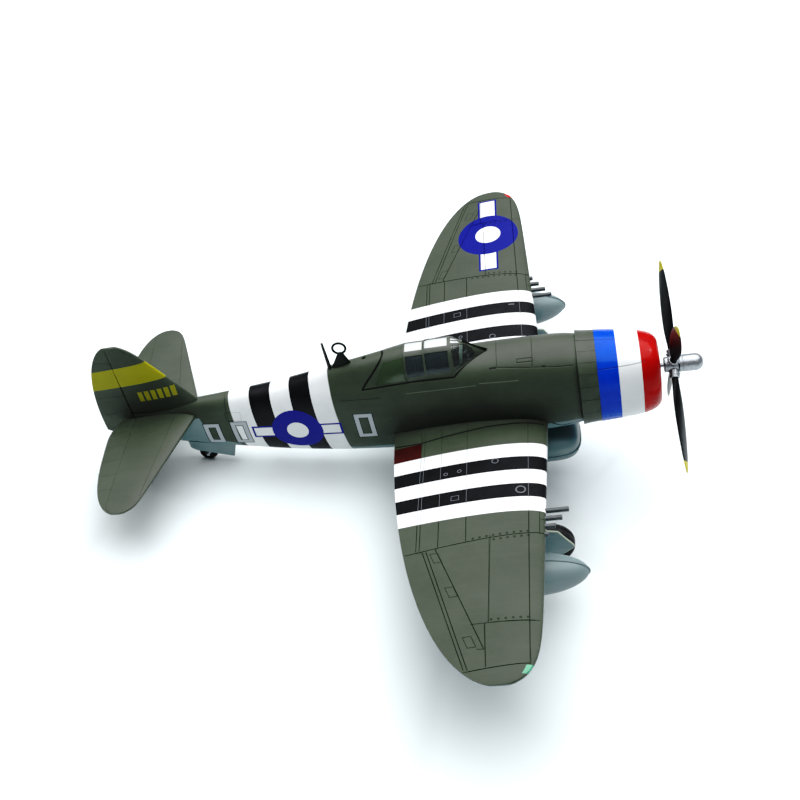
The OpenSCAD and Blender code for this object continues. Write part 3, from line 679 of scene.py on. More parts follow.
def wing_paint(name, base, port, above):
    p = Paint(name)
    y = p.y.abs()
    colour = p.mottled(base, 0.10, 0.10)
    streaks = p.noise(0.9, 4, 0.6, (0.12, 1, 1)).over(0.62, 0.12)
    colour = p.blend(streaks * 0.16, colour, tuple(c * 1.45 for c in base))
    band = y.between(*WING_BAND)
    white_paint = p.mottled(WHITE, 0.035, 0.2)
    colour = p.blend(band, colour, white_paint)
    black = y.between(*WING_BLACKS[0]).most(y.between(*WING_BLACKS[1]))
    colour = p.blend(black, colour, p.mottled(BLACK, 0.5, 0.3))
    if above:
        root = p.deepest([p.stroke(p.x, y, a, b, 0.3) for a, b in zip(ROOT_SEAM, ROOT_SEAM[1:])])
        colour = p.blend(root.over(0, 0.12) * 0.9, colour, (0.006, 0.007, 0.006))
        walk = p.box(p.x, y, (-77.5, 12.0), (-69.8, WING_BAND[0]))
        colour = p.blend(walk.over(0), colour, p.mottled(WALKWAY, 0.2, 0.3))
    if above and port:
        colour = insignia(p, colour, p.y, p.x, (65.2, -51.8), 8.7, (49.5, 81.5), 2.75)
    ink = wing_ink(p, y, port).over(0, 0.06)
    rivets = wing_rivets(p, y).over(0, 0.08)
    marks = ink.most(rivets)
    dark = p.blend(band, INK_ON_OLIVE if above else (0.16, 0.21, 0.23), INK_ON_WHITE)
    tone = p.blend(black, dark, INK_ON_BLACK)
    colour = p.blend(marks * 0.62, colour, tone)
    chips = p.noise(1.7, 5, 0.7)
    lead = (y * -0.054 + 12.85) * ((y / 86.3) ** 20 * -1 + 1).most(0).root() - 51
    near_edge = (p.x - lead).over(-0.9, 0.9)
    worn = near_edge * chips.over(0.66, 0.04)
    colour = p.blend(worn * 0.35, colour, (0.32, 0.33, 0.31))
    cut = {"groove": marks, "groove_depth": 0.07}
    return p.finish(colour, rough=0.5, drift=0.07, grain=0.16, specular=0.15, **cut)


# Hollow grey rectangles in the place of the code letters
CODE_BOXES = (
    ((-125.9, -7.3), (-121.7, -0.2)),
    ((-118.5, -7.6), (-114.2, 0.2)),
    ((-85.9, -7.2), (-81.3, 0.9)),
)


def fuselage_paint():
    p = Paint("paint_fuselage")
    colour = p.mottled(OLIVE, 0.12, 0.10)
    streaks = p.noise(0.7, 4, 0.6, (0.15, 1, 1)).over(0.62, 0.12)
    colour = p.blend(streaks * 0.15, colour, tuple(c * 1.4 for c in OLIVE))
    wavy = (p.noise(0.16, 2, 0.5) - 0.5) * 1.6
    keel = p.z + wavy
    tail_line = keel * -1 - 5.9 - (p.x + 125.2) * 0.33
    tail_end = keel * -1 + 1.9
    far_tail = p.x.over(-125.6, 0.9)
    behind_bands = p.x.over(-118, 0.1)
    grey = p.mottled(GREY_BLUE, 0.08, 0.15)
    nose = p.x.over(-44, 6) * 4.7
    ahead = nose - keel - 12.2
    astern = tail_line * far_tail + tail_end * (1 - far_tail)
    under = ahead * behind_bands + astern * (1 - behind_bands)
    colour = p.blend(under.over(0, 0.12), colour, grey)
    lean = p.x + (p.z - 6) * 0.06
    band = lean.between(*BODY_BAND)
    colour = p.blend(band, colour, p.mottled(WHITE, 0.04, 0.2))
    black = lean.between(*BODY_BLACKS[0]).most(lean.between(*BODY_BLACKS[1]))
    colour = p.blend(black, colour, p.mottled(BLACK, 0.5, 0.3))
    colour = insignia(p, colour, p.x, p.z, (-101.3, -3.5), 6.6, (-113.2, -89.6), 2.0)
    for low, high in CODE_BOXES:
        middle = ((low[0] + high[0]) / 2, (low[1] + high[1]) / 2)
        half = ((high[0] - low[0]) / 2 - 0.55, (high[1] - low[1]) / 2 - 0.55)
        rim = p.box_line(p.x, p.z, middle, half, 1.5)
        frame_in = p.box_line(p.x, p.z, middle, half, 1.05)
        colour = p.blend(rim.over(0), colour, (0.03, 0.035, 0.04))
        colour = p.blend(frame_in.over(0), colour, LETTER_GREY)
    lines = [
        p.stroke(p.x, p.z, (-82.4, 7.3), (-75.9, 14.4), 0.34),
        p.stroke(p.x, p.z, (-82.4, 7.3), (-70.0, 8.35), 0.3),
        p.stroke(p.x, p.z, (-70.0, 8.35), (-59.4, 8.6), 0.3),
        p.stroke(p.x, p.z, (-37.6, -7.4), (-35.2, -9.7), 0.4),
        p.stroke(p.x, p.z, (-35.2, -9.7), (-32.8, -8.9), 0.5),
        p.stroke(p.x, p.z, (-32.8, -8.9), (-26.0, -8.6), 0.3),
    ]
    screen_gap = p.stroke(p.x, p.y.abs(), (-59.4, 5.75), (-50.9, 0.2), 0.3)
    seams = [
        p.stroke(p.x, p.z, (-88.4, 5.0), (-78.3, 5.2), 0.16),
        p.stroke(p.x, p.z, (-48.8, 12.0), (-49.0, 9.8), 0.14),
        p.stroke(p.x, p.z, (-40.2, 12.0), (-40.6, 9.3), 0.14),
        p.stroke(p.x, p.z, (-30.8, 8.47), (-49.5, 9.7), 0.14),
        p.stroke(p.x, p.z, (-49.2, 9.56), (-50.8, 9.55), 0.3),
        p.stroke(p.x, p.z, (-37.5, 9.07), (-38.3, 9.06), 0.3),
        p.stroke(p.x, p.z, (-118.6, 20), (-118.6, -14), 0.16),
        p.box_line(p.x, p.z, (-42.2, 10.25), (1.9, 0.22), 0.14),
        p.box_line(p.x, p.z, (-117.1, 1.9), (2.0, 1.2), 0.16),
    ]
    # Light strokes along the upper side under the cockpit: a painted highlight, as of raised lines catching
    # the light
    raised = p.deepest([
        p.stroke(p.x, p.z, (-71.6, 5.88), (-54.4, 6.5), 0.2),
        p.stroke(p.x, p.z, (-53.6, 6.91), (-44.1, 6.86), 0.22),
    ]).over(0, 0.07)
    holes = [p.distance(p.x, p.y, (-81.2, 0.3)) * -1 + 0.55]
    top_only = p.z.over(8, 0.3)
    gap = p.deepest(lines).over(0, 0.05).most(p.deepest([*holes, screen_gap]).over(0, 0.06) * top_only)
    seam = p.deepest(seams).over(0, 0.06)
    colour = p.blend(gap * 0.95, colour, (0.006, 0.007, 0.006))
    dark = p.blend(band, INK_ON_OLIVE, INK_ON_WHITE)
    tone = p.blend(black, dark, INK_ON_BLACK)
    colour = p.blend(seam * 0.6, colour, tone)
    # The painted highlight strokes, lighter olive
    colour = p.blend(raised * 0.55, colour, (0.16, 0.17, 0.14))
    cut = {"groove": gap.most(seam * 0.6), "groove_depth": 0.09}
    return p.finish(colour, rough=0.42, drift=0.08, grain=0.14, specular=0.22, **cut)


def cowl_paint():
    p = Paint("paint_cowling")
    colour = p.mottled(BLUE, 0.10, 0.2)
    colour = p.blend(p.x.over(-20.5, 0.04), colour, p.mottled(WHITE, 0.03, 0.2))
    colour = p.blend(p.x.over(-15.1, 0.04), colour, p.mottled(RED, 0.10, 0.2))
    seam = p.stroke(p.x, p.z, (-25.4, 7.36), (-14.0, 7.04), 0.16).over(0, 0.06)
    joint = p.stroke(p.x, p.y, (-25.4, 0.0), (-12.0, 0.0), 0.14).over(0, 0.06)
    lines = seam.most(joint)
    colour = p.blend(lines * 0.5, colour, (0.03, 0.03, 0.05))
    worn = p.x.over(-11.6, 0.6) * p.noise(1.9, 5, 0.7).over(0.66, 0.05)
    colour = p.blend(worn * 0.4, colour, (0.30, 0.10, 0.09))
    gloss = {"rough": 0.26, "coat": 0.10, "coat_rough": 0.03, "specular": 0.10}
    return p.finish(colour, drift=0.06, grain=0.10, groove=lines, groove_depth=0.06, **gloss)


def plain_paint(name, colour, rough=0.5, depth=0.10, scale=0.15, grime=0.0, **fixed):
    """One sprayed colour with drift, speckle and, where asked, dirt in broad patches."""
    p = Paint(name)
    result = p.mottled(colour, depth, scale)
    if grime:
        patch = p.noise(0.6, 5, 0.7).over(0.58, 0.1)
        result = p.blend(patch * grime, result, tuple(c * 0.45 for c in colour))
    return p.finish(result, rough=rough, **fixed)


def flap_paint():
    """Cowl flaps: olive, grey along the belly."""
    p = Paint("paint_cowl_flaps")
    belly = (p.z * -1 + (p.noise(0.3, 2, 0.5) - 0.5) * 1.2).over(9.2, 0.3)
    colour = p.blend(belly, p.mottled(OLIVE, 0.14, 0.3), p.mottled(GREY_BLUE, 0.08, 0.15))
    return p.finish(colour, rough=0.45, grain=0.2, specular=0.25)


def door_paint():
    """Main gear door: light blue-grey, its cut edge catching the light."""
    p = Paint("paint_main_door")
    edges = [p.stroke(p.x, p.z, a, b, 0.3) for a, b in zip(DOOR, DOOR[1:])]
    colour = p.blend(p.noise(0.6, 5, 0.7).over(0.58, 0.1) * 0.12, p.mottled(GREY_BLUE, 0.1, 0.15), GRIME)
    colour = p.blend(p.deepest(edges).over(0, 0.08) * 0.7, colour, (0.42, 0.47, 0.34))
    return p.finish(colour, rough=0.42, specular=0.3)


def tail_paint(name, upright):
    """Stabilizers, fin and rudder: olive, with ribs and hinge lines; the fin has its band."""
    p = Paint(name)
    colour = p.mottled(OLIVE, 0.10, 0.12)
    streaks = p.noise(0.9, 4, 0.6, (0.15, 1, 1)).over(0.6, 0.12)
    colour = p.blend(streaks * 0.14, colour, tuple(c * 1.45 for c in OLIVE))
    if upright:
        top = p.z - (p.x + 135.4) * 0.1156
        low = p.z - (p.x + 131.8) * 0.1117
        band = top.over(20.1, 0.05) * -1 + low.over(14.6, 0.05)
        colour = p.blend(band, colour, p.mottled(YELLOW, 0.05, 0.3))
        blocks = []
        for k in range(6):
            x0 = -140.3 + 1.78 * k
            z0 = 8.0 + 0.16 * k
            blocks.append(p.box(p.x, p.z, (x0, z0), (x0 + 1.25, z0 + 3.1)))
        colour = p.blend(p.deepest(blocks).over(0, 0.04), colour, p.mottled((0.27, 0.26, 0.02), 0.08, 0.5))
        lines = [
            p.stroke(p.x, p.z, (-143.2, 10.5), (-151.0, 9.8), 0.16),
            p.stroke(p.x, p.z, (-143.2, 21.0), (-150.4, 21.6), 0.16),
            p.stroke(p.x, p.z, (-143.2, 5.0), (-151.4, 4.0), 0.16),
        ]
    else:
        y = p.y.abs()
        lines = [p.stroke(p.x, y, (-144.4, k), (-150.0, k), 0.14) for k in (6, 11, 16, 21, 26)]
        lines.append(p.stroke(p.x, y, (-132.5, 3), (-136.6, 29), 0.14))
    ink = p.deepest(lines).over(0, 0.07)
    colour = p.blend(ink * 0.45, colour, INK_ON_OLIVE)
    cut = {"groove": ink, "groove_depth": 0.04}
    return p.finish(colour, rough=0.48, drift=0.07, grain=0.18, specular=0.25, **cut)


def tank_paint(name, seam_from_y):
    """Light blue-grey with dirt along the welded seam."""
    p = Paint(name)
    colour = p.mottled(GREY_BLUE, 0.07, 0.12)
    if seam_from_y:
        seam = ((p.y.abs() - TANK_Y).abs() * -1 + 0.22).over(0, 0.12)
        colour = p.blend(seam * 0.6, colour, (0.10, 0.14, 0.15))
    else:
        seam = ((p.z - BELLY_Z).abs() * -1 + 0.30).over(0, 0.12)
        colour = p.blend(seam * 0.5, colour, (0.10, 0.14, 0.15))
    patch = p.noise(0.25, 4, 0.65).over(0.6, 0.15)
    colour = p.blend(patch * 0.12, colour, (0.20, 0.27, 0.29))
    return p.finish(colour, rough=0.42, drift=0.08, grain=0.14)


def blade_paint():
    p = Paint("paint_blades")
    colour = p.mottled(BLACK, 0.4, 0.4)
    reach = (p.y**2 + p.z**2).root()
    colour = p.blend(reach.over(24.3, 0.04), colour, p.mottled((0.52, 0.47, 0.03), 0.06, 0.5))
    worn = p.noise(1.5, 5, 0.7).over(0.68, 0.05)
    colour = p.blend(worn * 0.35, colour, (0.12, 0.12, 0.12))
    return p.finish(colour, rough=0.38, drift=0.10, grain=0.14, specular=0.2)


def metal(name, colour, rough=0.35, speckle=0.35, metallic=0.85):
    """Metallic paint with visible flakes."""
    p = Paint(name)
    flakes = p.noise(5.5, 3, 0.7).over(0.55, 0.12)
    result = p.blend(flakes * speckle, colour, tuple(c * 0.35 for c in colour))
    grime = p.noise(0.8, 4, 0.6).over(0.62, 0.12)
    result = p.blend(grime * 0.3, result, tuple(c * 0.4 for c in colour))
    return p.finish(result, rough=rough, drift=0.12, grain=0.5, metallic=metallic)


def clear_plastic(name, tint, rough=0.05, transmission=0.92, specular=0.5):
    p = Paint(name)
    smudge = p.noise(0.7, 4, 0.6).over(0.55, 0.25)
    colour = p.blend(smudge * 0.4, tint, tuple(c * 0.9 for c in tint))
    clear = {"transmission": transmission, "specular": specular, "ior": 1.45}
    return p.finish(colour, rough=rough, drift=0.05, grain=0.05, **clear)


def rubber():
    p = Paint("rubber")
    colour = p.mottled((0.016, 0.016, 0.018), 0.3, 0.5)
    dust = p.noise(0.9, 5, 0.65).over(0.6, 0.12)
    colour = p.blend(dust * 0.4, colour, (0.07, 0.07, 0.068))
    return p.finish(colour, rough=0.72, drift=0.1, grain=0.5)


OLIVE_TOP = {
    1: wing_paint("paint_wing_port", OLIVE, True, True),
    -1: wing_paint("paint_wing_starboard", OLIVE, False, True),
}
WING_UNDER = wing_paint("paint_wing_under", GREY_BLUE, False, False)
BODY_PAINT = fuselage_paint()
COWL_PAINT = cowl_paint()
FLAP_PAINT = flap_paint()
INSIDE_PAINT = plain_paint("paint_inside", (0.05, 0.06, 0.035), 0.6, grime=0.3)
STAB_PAINT = tail_paint("paint_stabilizer", False)
FIN_PAINT = tail_paint("paint_fin", True)
FRAME_PAINT = plain_paint("paint_canopy_frame", OLIVE, 0.45)
GREY_PAINT = plain_paint("paint_grey", GREY_BLUE, 0.45, grime=0.12)
WING_TANK_PAINT = tank_paint("paint_wing_tank", True)
BELLY_TANK_PAINT = tank_paint("paint_belly_tank", False)
DOOR_PAINT = plain_paint("paint_tail_door", GREY_BLUE, 0.42, grime=0.1)
MAIN_DOOR_PAINT = door_paint()
BLADE_PAINT = blade_paint()
DOME_METAL = metal("metal_dome", (0.42, 0.45, 0.48), 0.38, 0.75)
LEG_METAL = metal("metal_leg", (0.45, 0.47, 0.49), 0.4, 0.25)
GUN_METAL = metal("metal_guns", (0.07, 0.08, 0.085), 0.4, 0.3, 0.3)
ENGINE_PAINT = metal("paint_engine", (0.10, 0.105, 0.11), 0.45, 0.3, 0.5)
CASE_PAINT = metal("paint_crankcase", (0.23, 0.25, 0.27), 0.42, 0.3, 0.3)
BRASS = metal("paint_ignition_ring", (0.42, 0.28, 0.10), 0.35, 0.25, 0.7)
COCKPIT_PAINT = plain_paint("paint_cockpit", (0.022, 0.032, 0.016), 0.6, grime=0.35)
LOOP_PAINT = plain_paint("paint_loop", (0.014, 0.018, 0.016), 0.5, 0.25, specular=0.25)
TRIM_PAINT = plain_paint("paint_trim", (0.014, 0.014, 0.015), 0.5, 0.3)
RUBBER = rubber()
# Side panes of the hood: the clear plastic tinted dark grey, a painted shade standing in for the dark
# cockpit seen through them
CLEAR = clear_plastic("clear_canopy_painted_shade", (0.20, 0.24, 0.25), 0.04, transmission=0.8, specular=0.25)
SCREEN_CLEAR = clear_plastic("clear_windscreen", (0.72, 0.78, 0.76), 0.03, transmission=0.96, specular=0.2)
# Roof panes and the top of the windscreen: the same plastic drawn milky white and less clear; the white is
# a painted reflection of the overhead light on the upward panes
ROOF_GLASS_PAINTED_REFLECTION = clear_plastic("clear_roof_painted_reflection", (0.86, 0.90, 0.91), 0.14, transmission=0.35)
PANE_GREEN = clear_plastic("clear_rear_window", (0.070, 0.095, 0.062), 0.12, transmission=0.2)
# Armour glass: opaque pale green, a painted highlight standing in for the light the glass catches inside
# the dark cockpit
ARMOUR_GLASS_PAINTED_SHEEN = plain_paint("armour_glass_painted_sheen", (0.62, 0.78, 0.66), 0.3, specular=0.4)
RED_LENS = plain_paint("lens_red", (0.55, 0.01, 0.01), 0.15, coat=0.6, coat_rough=0.05)
GREEN_LENS = plain_paint("lens_green", (0.03, 0.30, 0.16), 0.15, coat=0.6, coat_rough=0.05)

# ------------------------------------------------------------------ fuselage


def middle_z(x):
    """Height of the widest part of the section."""
    return -1 - 0.02 * max(0, -60 - x)


def bump_shape(u, p):
    return unit(1 - np.abs(u) ** 2.6) ** p


def spine_w(x):
    return mix(SILL_Y, 3.4, unit((-72 - x) / 36))


def spine_h(x):
    return SPINE_RISE * unit((x - SPINE_END_X) / 37) ** 1.4


def spine_power(x):
    return mix(0.75, 2.2, unit((-72 - x) / 20))


def skin_point(x, angles, inset):
    """Points of the section at x; angle -90 is the keel, 0 the side and 90 the spine."""
    angles = np.atleast_1d(angles)
    s = row_at(STATIONS, x)
    m = middle_z(x)
    c = unit(np.cos(np.radians(angles)))
    v = np.abs(np.sin(np.radians(angles)))
    y = (s[1] - inset) * np.where(c < 1e-6, 0, c) ** (2 / ROUNDNESS)
    up = angles > 0
    reach = np.where(up, s[2] - inset - m, m - s[3] - inset)
    z = m + reach * np.sign(angles) * v ** (2 / ROUNDNESS)
    if x <= HOOD_REAR_X:
        z = z + np.where(up, spine_h(x) * bump_shape(y / spine_w(x), spine_power(x)), 0)
    return np.column_stack([np.full(len(y), float(x)), y, z])


def opening(x):
    """Half width of the cockpit opening."""
    if x > SCREEN_TIP_X or x <= HOOD_REAR_X:
        return 0
    return mix(0.4, SILL_Y, unit((SCREEN_TIP_X - x) / (SCREEN_TIP_X - HOOD_FRONT_X)))


def top_angle(x):
    """Where the section stops: at the spine, or at the edge of the cockpit opening."""
    if opening(x) == 0:
        return 90
    return math.degrees(math.acos((opening(x) / row_at(STATIONS, x)[1]) ** (ROUNDNESS / 2)))


def fuselage_half():
    even = set(np.round(np.arange(NOSE_X, TAIL_X, -1.5), 3))
    at_screen = {SCREEN_TIP_X + 0.1, SCREEN_TIP_X - 0.1}
    at_hood = {HOOD_FRONT_X, HOOD_REAR_X + 0.1, HOOD_REAR_X - 0.02}
    places = sorted(even | at_screen | at_hood | {TAIL_X}, reverse=True)
    outer, inner = [], []
    for x in places:
        angles = np.concatenate([np.linspace(-90, 42, 36), np.linspace(42, top_angle(x), 16)[1:]])
        outer.append(skin_point(x, angles, 0))
        inner.append(skin_point(x, angles, min(SKIN_T, row_at(STATIONS, x)[1] * 0.45)))
    return shell(outer, inner)


both("fuselage_{}_skin", [fuselage_half()], "olive_skin", BODY_PAINT, "fuselage_{}")

# ------------------------------------------------------------------ cowling

COWL = [
    (-25.4, 0), (-22.5, 0.05), (-20, 0.15), (-17.5, 0.27), (-15.5, 0.45), (-14.2, 0.68), (-13, 1.0),
    (-12.1, 1.4), (-11.4, 1.9), (-10.9, 2.45), (-10.62, 3.0), (-10.65, 3.4), (-10.9, 3.7), (-11.5, 3.85),
    (-12.5, 3.8), (-15, 3.3), (-18, 2.6), (-22, 1.8), (-25.4, 1.2),
]
COWL_BACK = np.array([9.75, 10.6, -12.7])
COWL_FRONT = np.array([9.5, 9.4, -12.1])
COWL_STEPS = 144
FLAP_X = (-25.4, -29.9)


def cowl_ring(x, inset, angles=None):
    s = mix(COWL_BACK, COWL_FRONT, unit((-25.4 - x) / -12))
    a = np.radians(np.arange(COWL_STEPS) * 360 / COWL_STEPS if angles is None else angles)
    m = -1
    reach = np.where(np.sin(a) > 0, s[1] - inset - m, m - s[2] - inset)
    y = (s[0] - inset) * np.sign(np.cos(a)) * np.abs(np.cos(a)) ** (2 / ROUNDNESS)
    z = m + reach * np.sign(np.sin(a)) * np.abs(np.sin(a)) ** (2 / ROUNDNESS)
    return np.column_stack([np.full(len(a), float(x)), y, z])


INNER_COWL_ROW = 14


def inside_cowl(face):
    """The rows behind the lip, and the one that joins the last ring to the first."""
    first, last = min(face) // COWL_STEPS, max(face) // COWL_STEPS
    return first >= INNER_COWL_ROW or (first == 0 and last == len(COWL) - 1)


cowl = loft([cowl_ring(x, inset) for x, inset in COWL], around=True)
fixed("cowling_skin", [cowl], "cowl_paint", COWL_PAINT, "cowling", inner=INSIDE_PAINT, is_inner=inside_cowl)


def cowl_flap(centre, width):
    """One flap: a thin curved plate that opens a little at its rear edge."""
    angles = centre + np.linspace(-width / 2, width / 2, 7)
    outer, inner = [], []
    for t in np.linspace(0, 1, 6):
        x = mix(*FLAP_X, t)
        out = mix(0.08, -0.32, t**1.6)
        outer.append(cowl_ring(x, out, angles))
        inner.append(cowl_ring(x, out + 0.34, angles))
    return shell(outer, inner)


FLAPS_PER_SIDE = 9
FLAP_STEP = 17.2
FLAP_GAP = 0.35
BACKING = ((-25.4, 0.5), (-27.6, 0.48), (-29.4, 0.36), (-29.4, 0.56), (-27.6, 0.72), (-25.4, 0.9))
flaps = []
for k in range(FLAPS_PER_SIDE):
    for hand in (1, -1):
        flaps.append(cowl_flap(90 + hand * (k + 0.5) * FLAP_STEP, FLAP_STEP - FLAP_GAP))
flaps.append(cowl_flap(270, 360 - 2 * FLAPS_PER_SIDE * FLAP_STEP - 1.0))
flaps.append(loft([cowl_ring(x, inset) for x, inset in BACKING], around=True))
fixed("cowl_flap_set", flaps, "olive_skin", FLAP_PAINT, "cowl_flaps")

# ------------------------------------------------------------------ canopy


def hood_h(x):
    """Height of the hood above the section that it stands on."""
    return 4.05 + (0.25 * unit((x + 72) / 6) if x > -66 else 0)


def hood_point(x, across, inset):
    s = row_at(STATIONS, x)
    m = middle_z(x)
    y = (SILL_Y - inset) * np.sin(np.radians(90 * across))
    body = (1 - (np.abs(y) / s[1]) ** ROUNDNESS) ** (1 / ROUNDNESS)
    return np.array([x, y, m + (s[2] - m) * body - inset + hood_h(x) * bump_shape(y / SILL_Y, 0.75)])


def hood_grid(places, acrosses, inset):
    return [[hood_point(x, a, inset) for a in acrosses] for x in places]


# Windows of the hood: two bays along it; across, a roof pane and one on each side
BAYS = ((-60.2, -65.8), (-66.35, -70.65))
ROOF_PANE = 0.19
SIDE_PANE = (0.33, 0.81)
PANE_EDGES = np.array([ROOF_PANE, *SIDE_PANE])
HOOD_ACROSS = np.array(sorted({*np.round(np.linspace(-1, 1, 51), 3), *PANE_EDGES, *-PANE_EDGES}))


def hood_panes(low, high):
    """Panes of both bays between two places across; each runs on under the frame."""
    across = np.linspace(low - 0.05, high + 0.05, 13)
    solids = []
    for front, rear in BAYS:
        places = np.linspace(front + 0.2, rear - 0.2, 6)
        solids.append(shell(*[hood_grid(places, across, inset) for inset in (PANE_INSET, GLASS_T)]))
    return solids


side_panes = hood_panes(*SIDE_PANE) + hood_panes(-SIDE_PANE[1], -SIDE_PANE[0])
fixed("hood_side_glass", side_panes, "clear", CLEAR, "canopy_glass")
fixed("hood_roof_glass", hood_panes(-ROOF_PANE, ROOF_PANE), "clear", ROOF_GLASS_PAINTED_REFLECTION, "canopy_glass")

hood_places = [HOOD_FRONT_X, *np.linspace(*BAYS[0], 6), *np.linspace(*BAYS[1], 6), HOOD_REAR_X]


def hood_hole(j, i):
    x = (hood_places[j] + hood_places[j + 1]) / 2
    a = abs(HOOD_ACROSS[i] + HOOD_ACROSS[i + 1]) / 2
    return (a < ROOF_PANE or SIDE_PANE[0] < a < SIDE_PANE[1]) and any(bay[1] < x < bay[0] for bay in BAYS)


hood_skins = [hood_grid(hood_places, HOOD_ACROSS, inset) for inset in (-FRAME_PROUD, FRAME_DEPTH)]
fixed("hood_frame", [shell(*hood_skins, hood_hole)], "olive_skin", FRAME_PAINT, "canopy_frame")


def screen_point(across, along, inset):
    """Windscreen from its middle post (along 0) back to the hoop at the hood (along 1)."""
    hoop = hood_point(HOOD_FRONT_X, across, inset)
    lift = 1 - abs(across)
    post = np.array([
        mix(SCREEN_TIP_X, SCREEN_TOP[0], lift) - inset,
        0.35 * np.sign(across),
        mix(POST_FOOT_Z, SCREEN_TOP[1], lift) - inset * 0.6,
    ])
    return mix(post, hoop, along)


SCREEN_ALONG = [0, 0.04, *np.linspace(0.08, 0.93, 26), 0.97, 1]
SCREEN_SIDE = [1, 0.94, *np.linspace(0.88, 0.20, 26), 0.16, 0.12, 0.07, 0.02]


def screen_grid(alongs, acrosses, inset):
    return [[screen_point(a, v, inset) for a in acrosses] for v in alongs]


def screen_pane(sides):
    alongs = SCREEN_ALONG[1:-1]
    return shell(*[screen_grid(alongs, sides, inset) for inset in (PANE_INSET, GLASS_T)])


low_pane, high_pane = screen_pane(SCREEN_SIDE[1:-3]), screen_pane(SCREEN_SIDE[-4:])
fixed("windscreen_pane", [low_pane, mirrored(low_pane)], "clear", SCREEN_CLEAR, "windscreen_glass")
fixed("windscreen_top_pane", [high_pane, mirrored(high_pane)], "clear", ROOF_GLASS_PAINTED_REFLECTION, "windscreen_glass")

screen_acrosses = [-a for a in SCREEN_SIDE] + SCREEN_SIDE[::-1]


def screen_hole(j, i):
    a = abs((screen_acrosses[i] + screen_acrosses[i + 1]) / 2)
    v = (SCREEN_ALONG[j] + SCREEN_ALONG[j + 1]) / 2
    low = 0.09 + 0.13 * ((a - 0.12) / 0.76) ** 2
    corner = unit((a - 0.70) / 0.18) ** 2 * 0.10
    return (low + corner < v < 0.93 and 0.20 < a < 0.88) or (a < 0.12 and 0.3 < v < 0.93)


screen_skins = [screen_grid(SCREEN_ALONG, screen_acrosses, inset) for inset in (-FRAME_PROUD, FRAME_DEPTH)]
posts = shell(*screen_skins, screen_hole)
fixed("windscreen_posts", [posts], "olive_skin", FRAME_PAINT, "windscreen_frame")

# Rear quarter windows: panes set in the spine, the rear edge leaning forward
WINDOW_FRONT_X, WINDOW_REAR_X = -71.3, (-78.9, -76.3)
WINDOW_ANGLES = (51, 73)
WINDOW_STEPS = np.linspace(0, 1, 9)


def window_grid(out):
    grid = []
    for along in WINDOW_STEPS:
        line = []
        for up in WINDOW_STEPS:
            x = mix(WINDOW_FRONT_X, mix(*WINDOW_REAR_X, up), along)
            line.append(skin_point(x, mix(*WINDOW_ANGLES, up), -out)[0])
        grid.append(line)
    return grid


window_pane = shell(window_grid(0.10), window_grid(-0.25))
fixed("rear_window_panes", [window_pane, mirrored(window_pane)], "clear", PANE_GREEN, "rear_windows")

# Armour glass behind the windscreen, drawn as an opaque pale bar; its paleness is a painted highlight for
# the light the glass catches
ARMOUR_TOP, ARMOUR_FOOT = np.array([-57.1, 0, 13.7]), np.array([-57.9, 0, 8.0])
ARMOUR_T, ARMOUR_W = 0.38, 0.95
corners = [(-ARMOUR_T, -ARMOUR_W), (ARMOUR_T, -ARMOUR_W), (ARMOUR_T, ARMOUR_W), (-ARMOUR_T, ARMOUR_W)]
armour = []
for end in (ARMOUR_FOOT, ARMOUR_TOP):
    outline = rounded(corners, 0.12)
    armour.append(np.column_stack([outline, np.zeros(len(outline))]) + end)
piece("armour_glass", [loft(armour)], "airframe", "clear", ARMOUR_GLASS_PAINTED_SHEEN)

# ------------------------------------------------------------------ wings


GROOVE_W = 0.17
GROOVE_D = 0.08
ROOT_LIFT = 1.5
ROOT_SEAM_X, ROOT_SEAM_Y = zip(*ROOT_SEAM)
WING_TIP_Y = WING.span * 0.9968
AILERON_Y, TIP_RIB_Y = 48.3, 82


def chord_plane(x, y):
    """Height of the wing's middle plane."""
    return WING_Z + y * DIHEDRAL + (x - WING.tip_x) * INCIDENCE


def chord_x(surface, y, f):
    return mix(float(surface.lead(y)), float(surface.trail(y)), f)


def wing_skin(side, y, f):
    """Distance of the skin from the middle plane; the wing is fuller above (side 1)."""
    return EDGE_T + float(WING.half_thickness(y, f)) * (1.1 if side > 0 else 0.9)


def along_line(line, y):
    """x of a spanwise line at y, carried on past its ends."""
    (x0, y0), (x1, y1) = line
    return x0 + (x1 - x0) * (y - y0) / (y1 - y0)


def column_lines(y):
    """Places of the spanwise engraved lines at y, and whether each is cut there."""
    inboard = y < AILERON_Y
    spar = along_line(SPAR, min(y, TIP_RIB_Y))
    middle = -53.0 if y < 71 else -53.9
    hinge = FLAP_HINGE[0][0] if inboard else along_line(AILERON_HINGE, min(y, TIP_RIB_Y))
    hinge_2 = FLAP_HINGE_2[0][0] if inboard else along_line(AILERON_HINGE_2, min(y, TIP_RIB_Y))
    front = FLAP_MIDDLE[0][0] if inboard else along_line(AILERON_FRONT, min(y, 77.4))
    between = FLAP_FRONT[0][0] if inboard else mix(middle, front, 0.5)
    return [
        (spar, 9 < y < TIP_RIB_Y),
        (middle, 46.9 < y < 81.8),
        (between, 9 < y < 47.6),
        (front, 9 < y < 77.4),
        (hinge, 9 < y < 82.2),
        (hinge_2, 9 < y < 82.2),
    ]


# Steps of the grid between engraved lines, and where the lines' columns go past the tip rib
FILL = (12, 5, 4, 4, 4, 1, 6)
TIP_KNOTS = (0, 0.16, 0.33, 0.44, 0.56, 0.68, 0.71, 1)


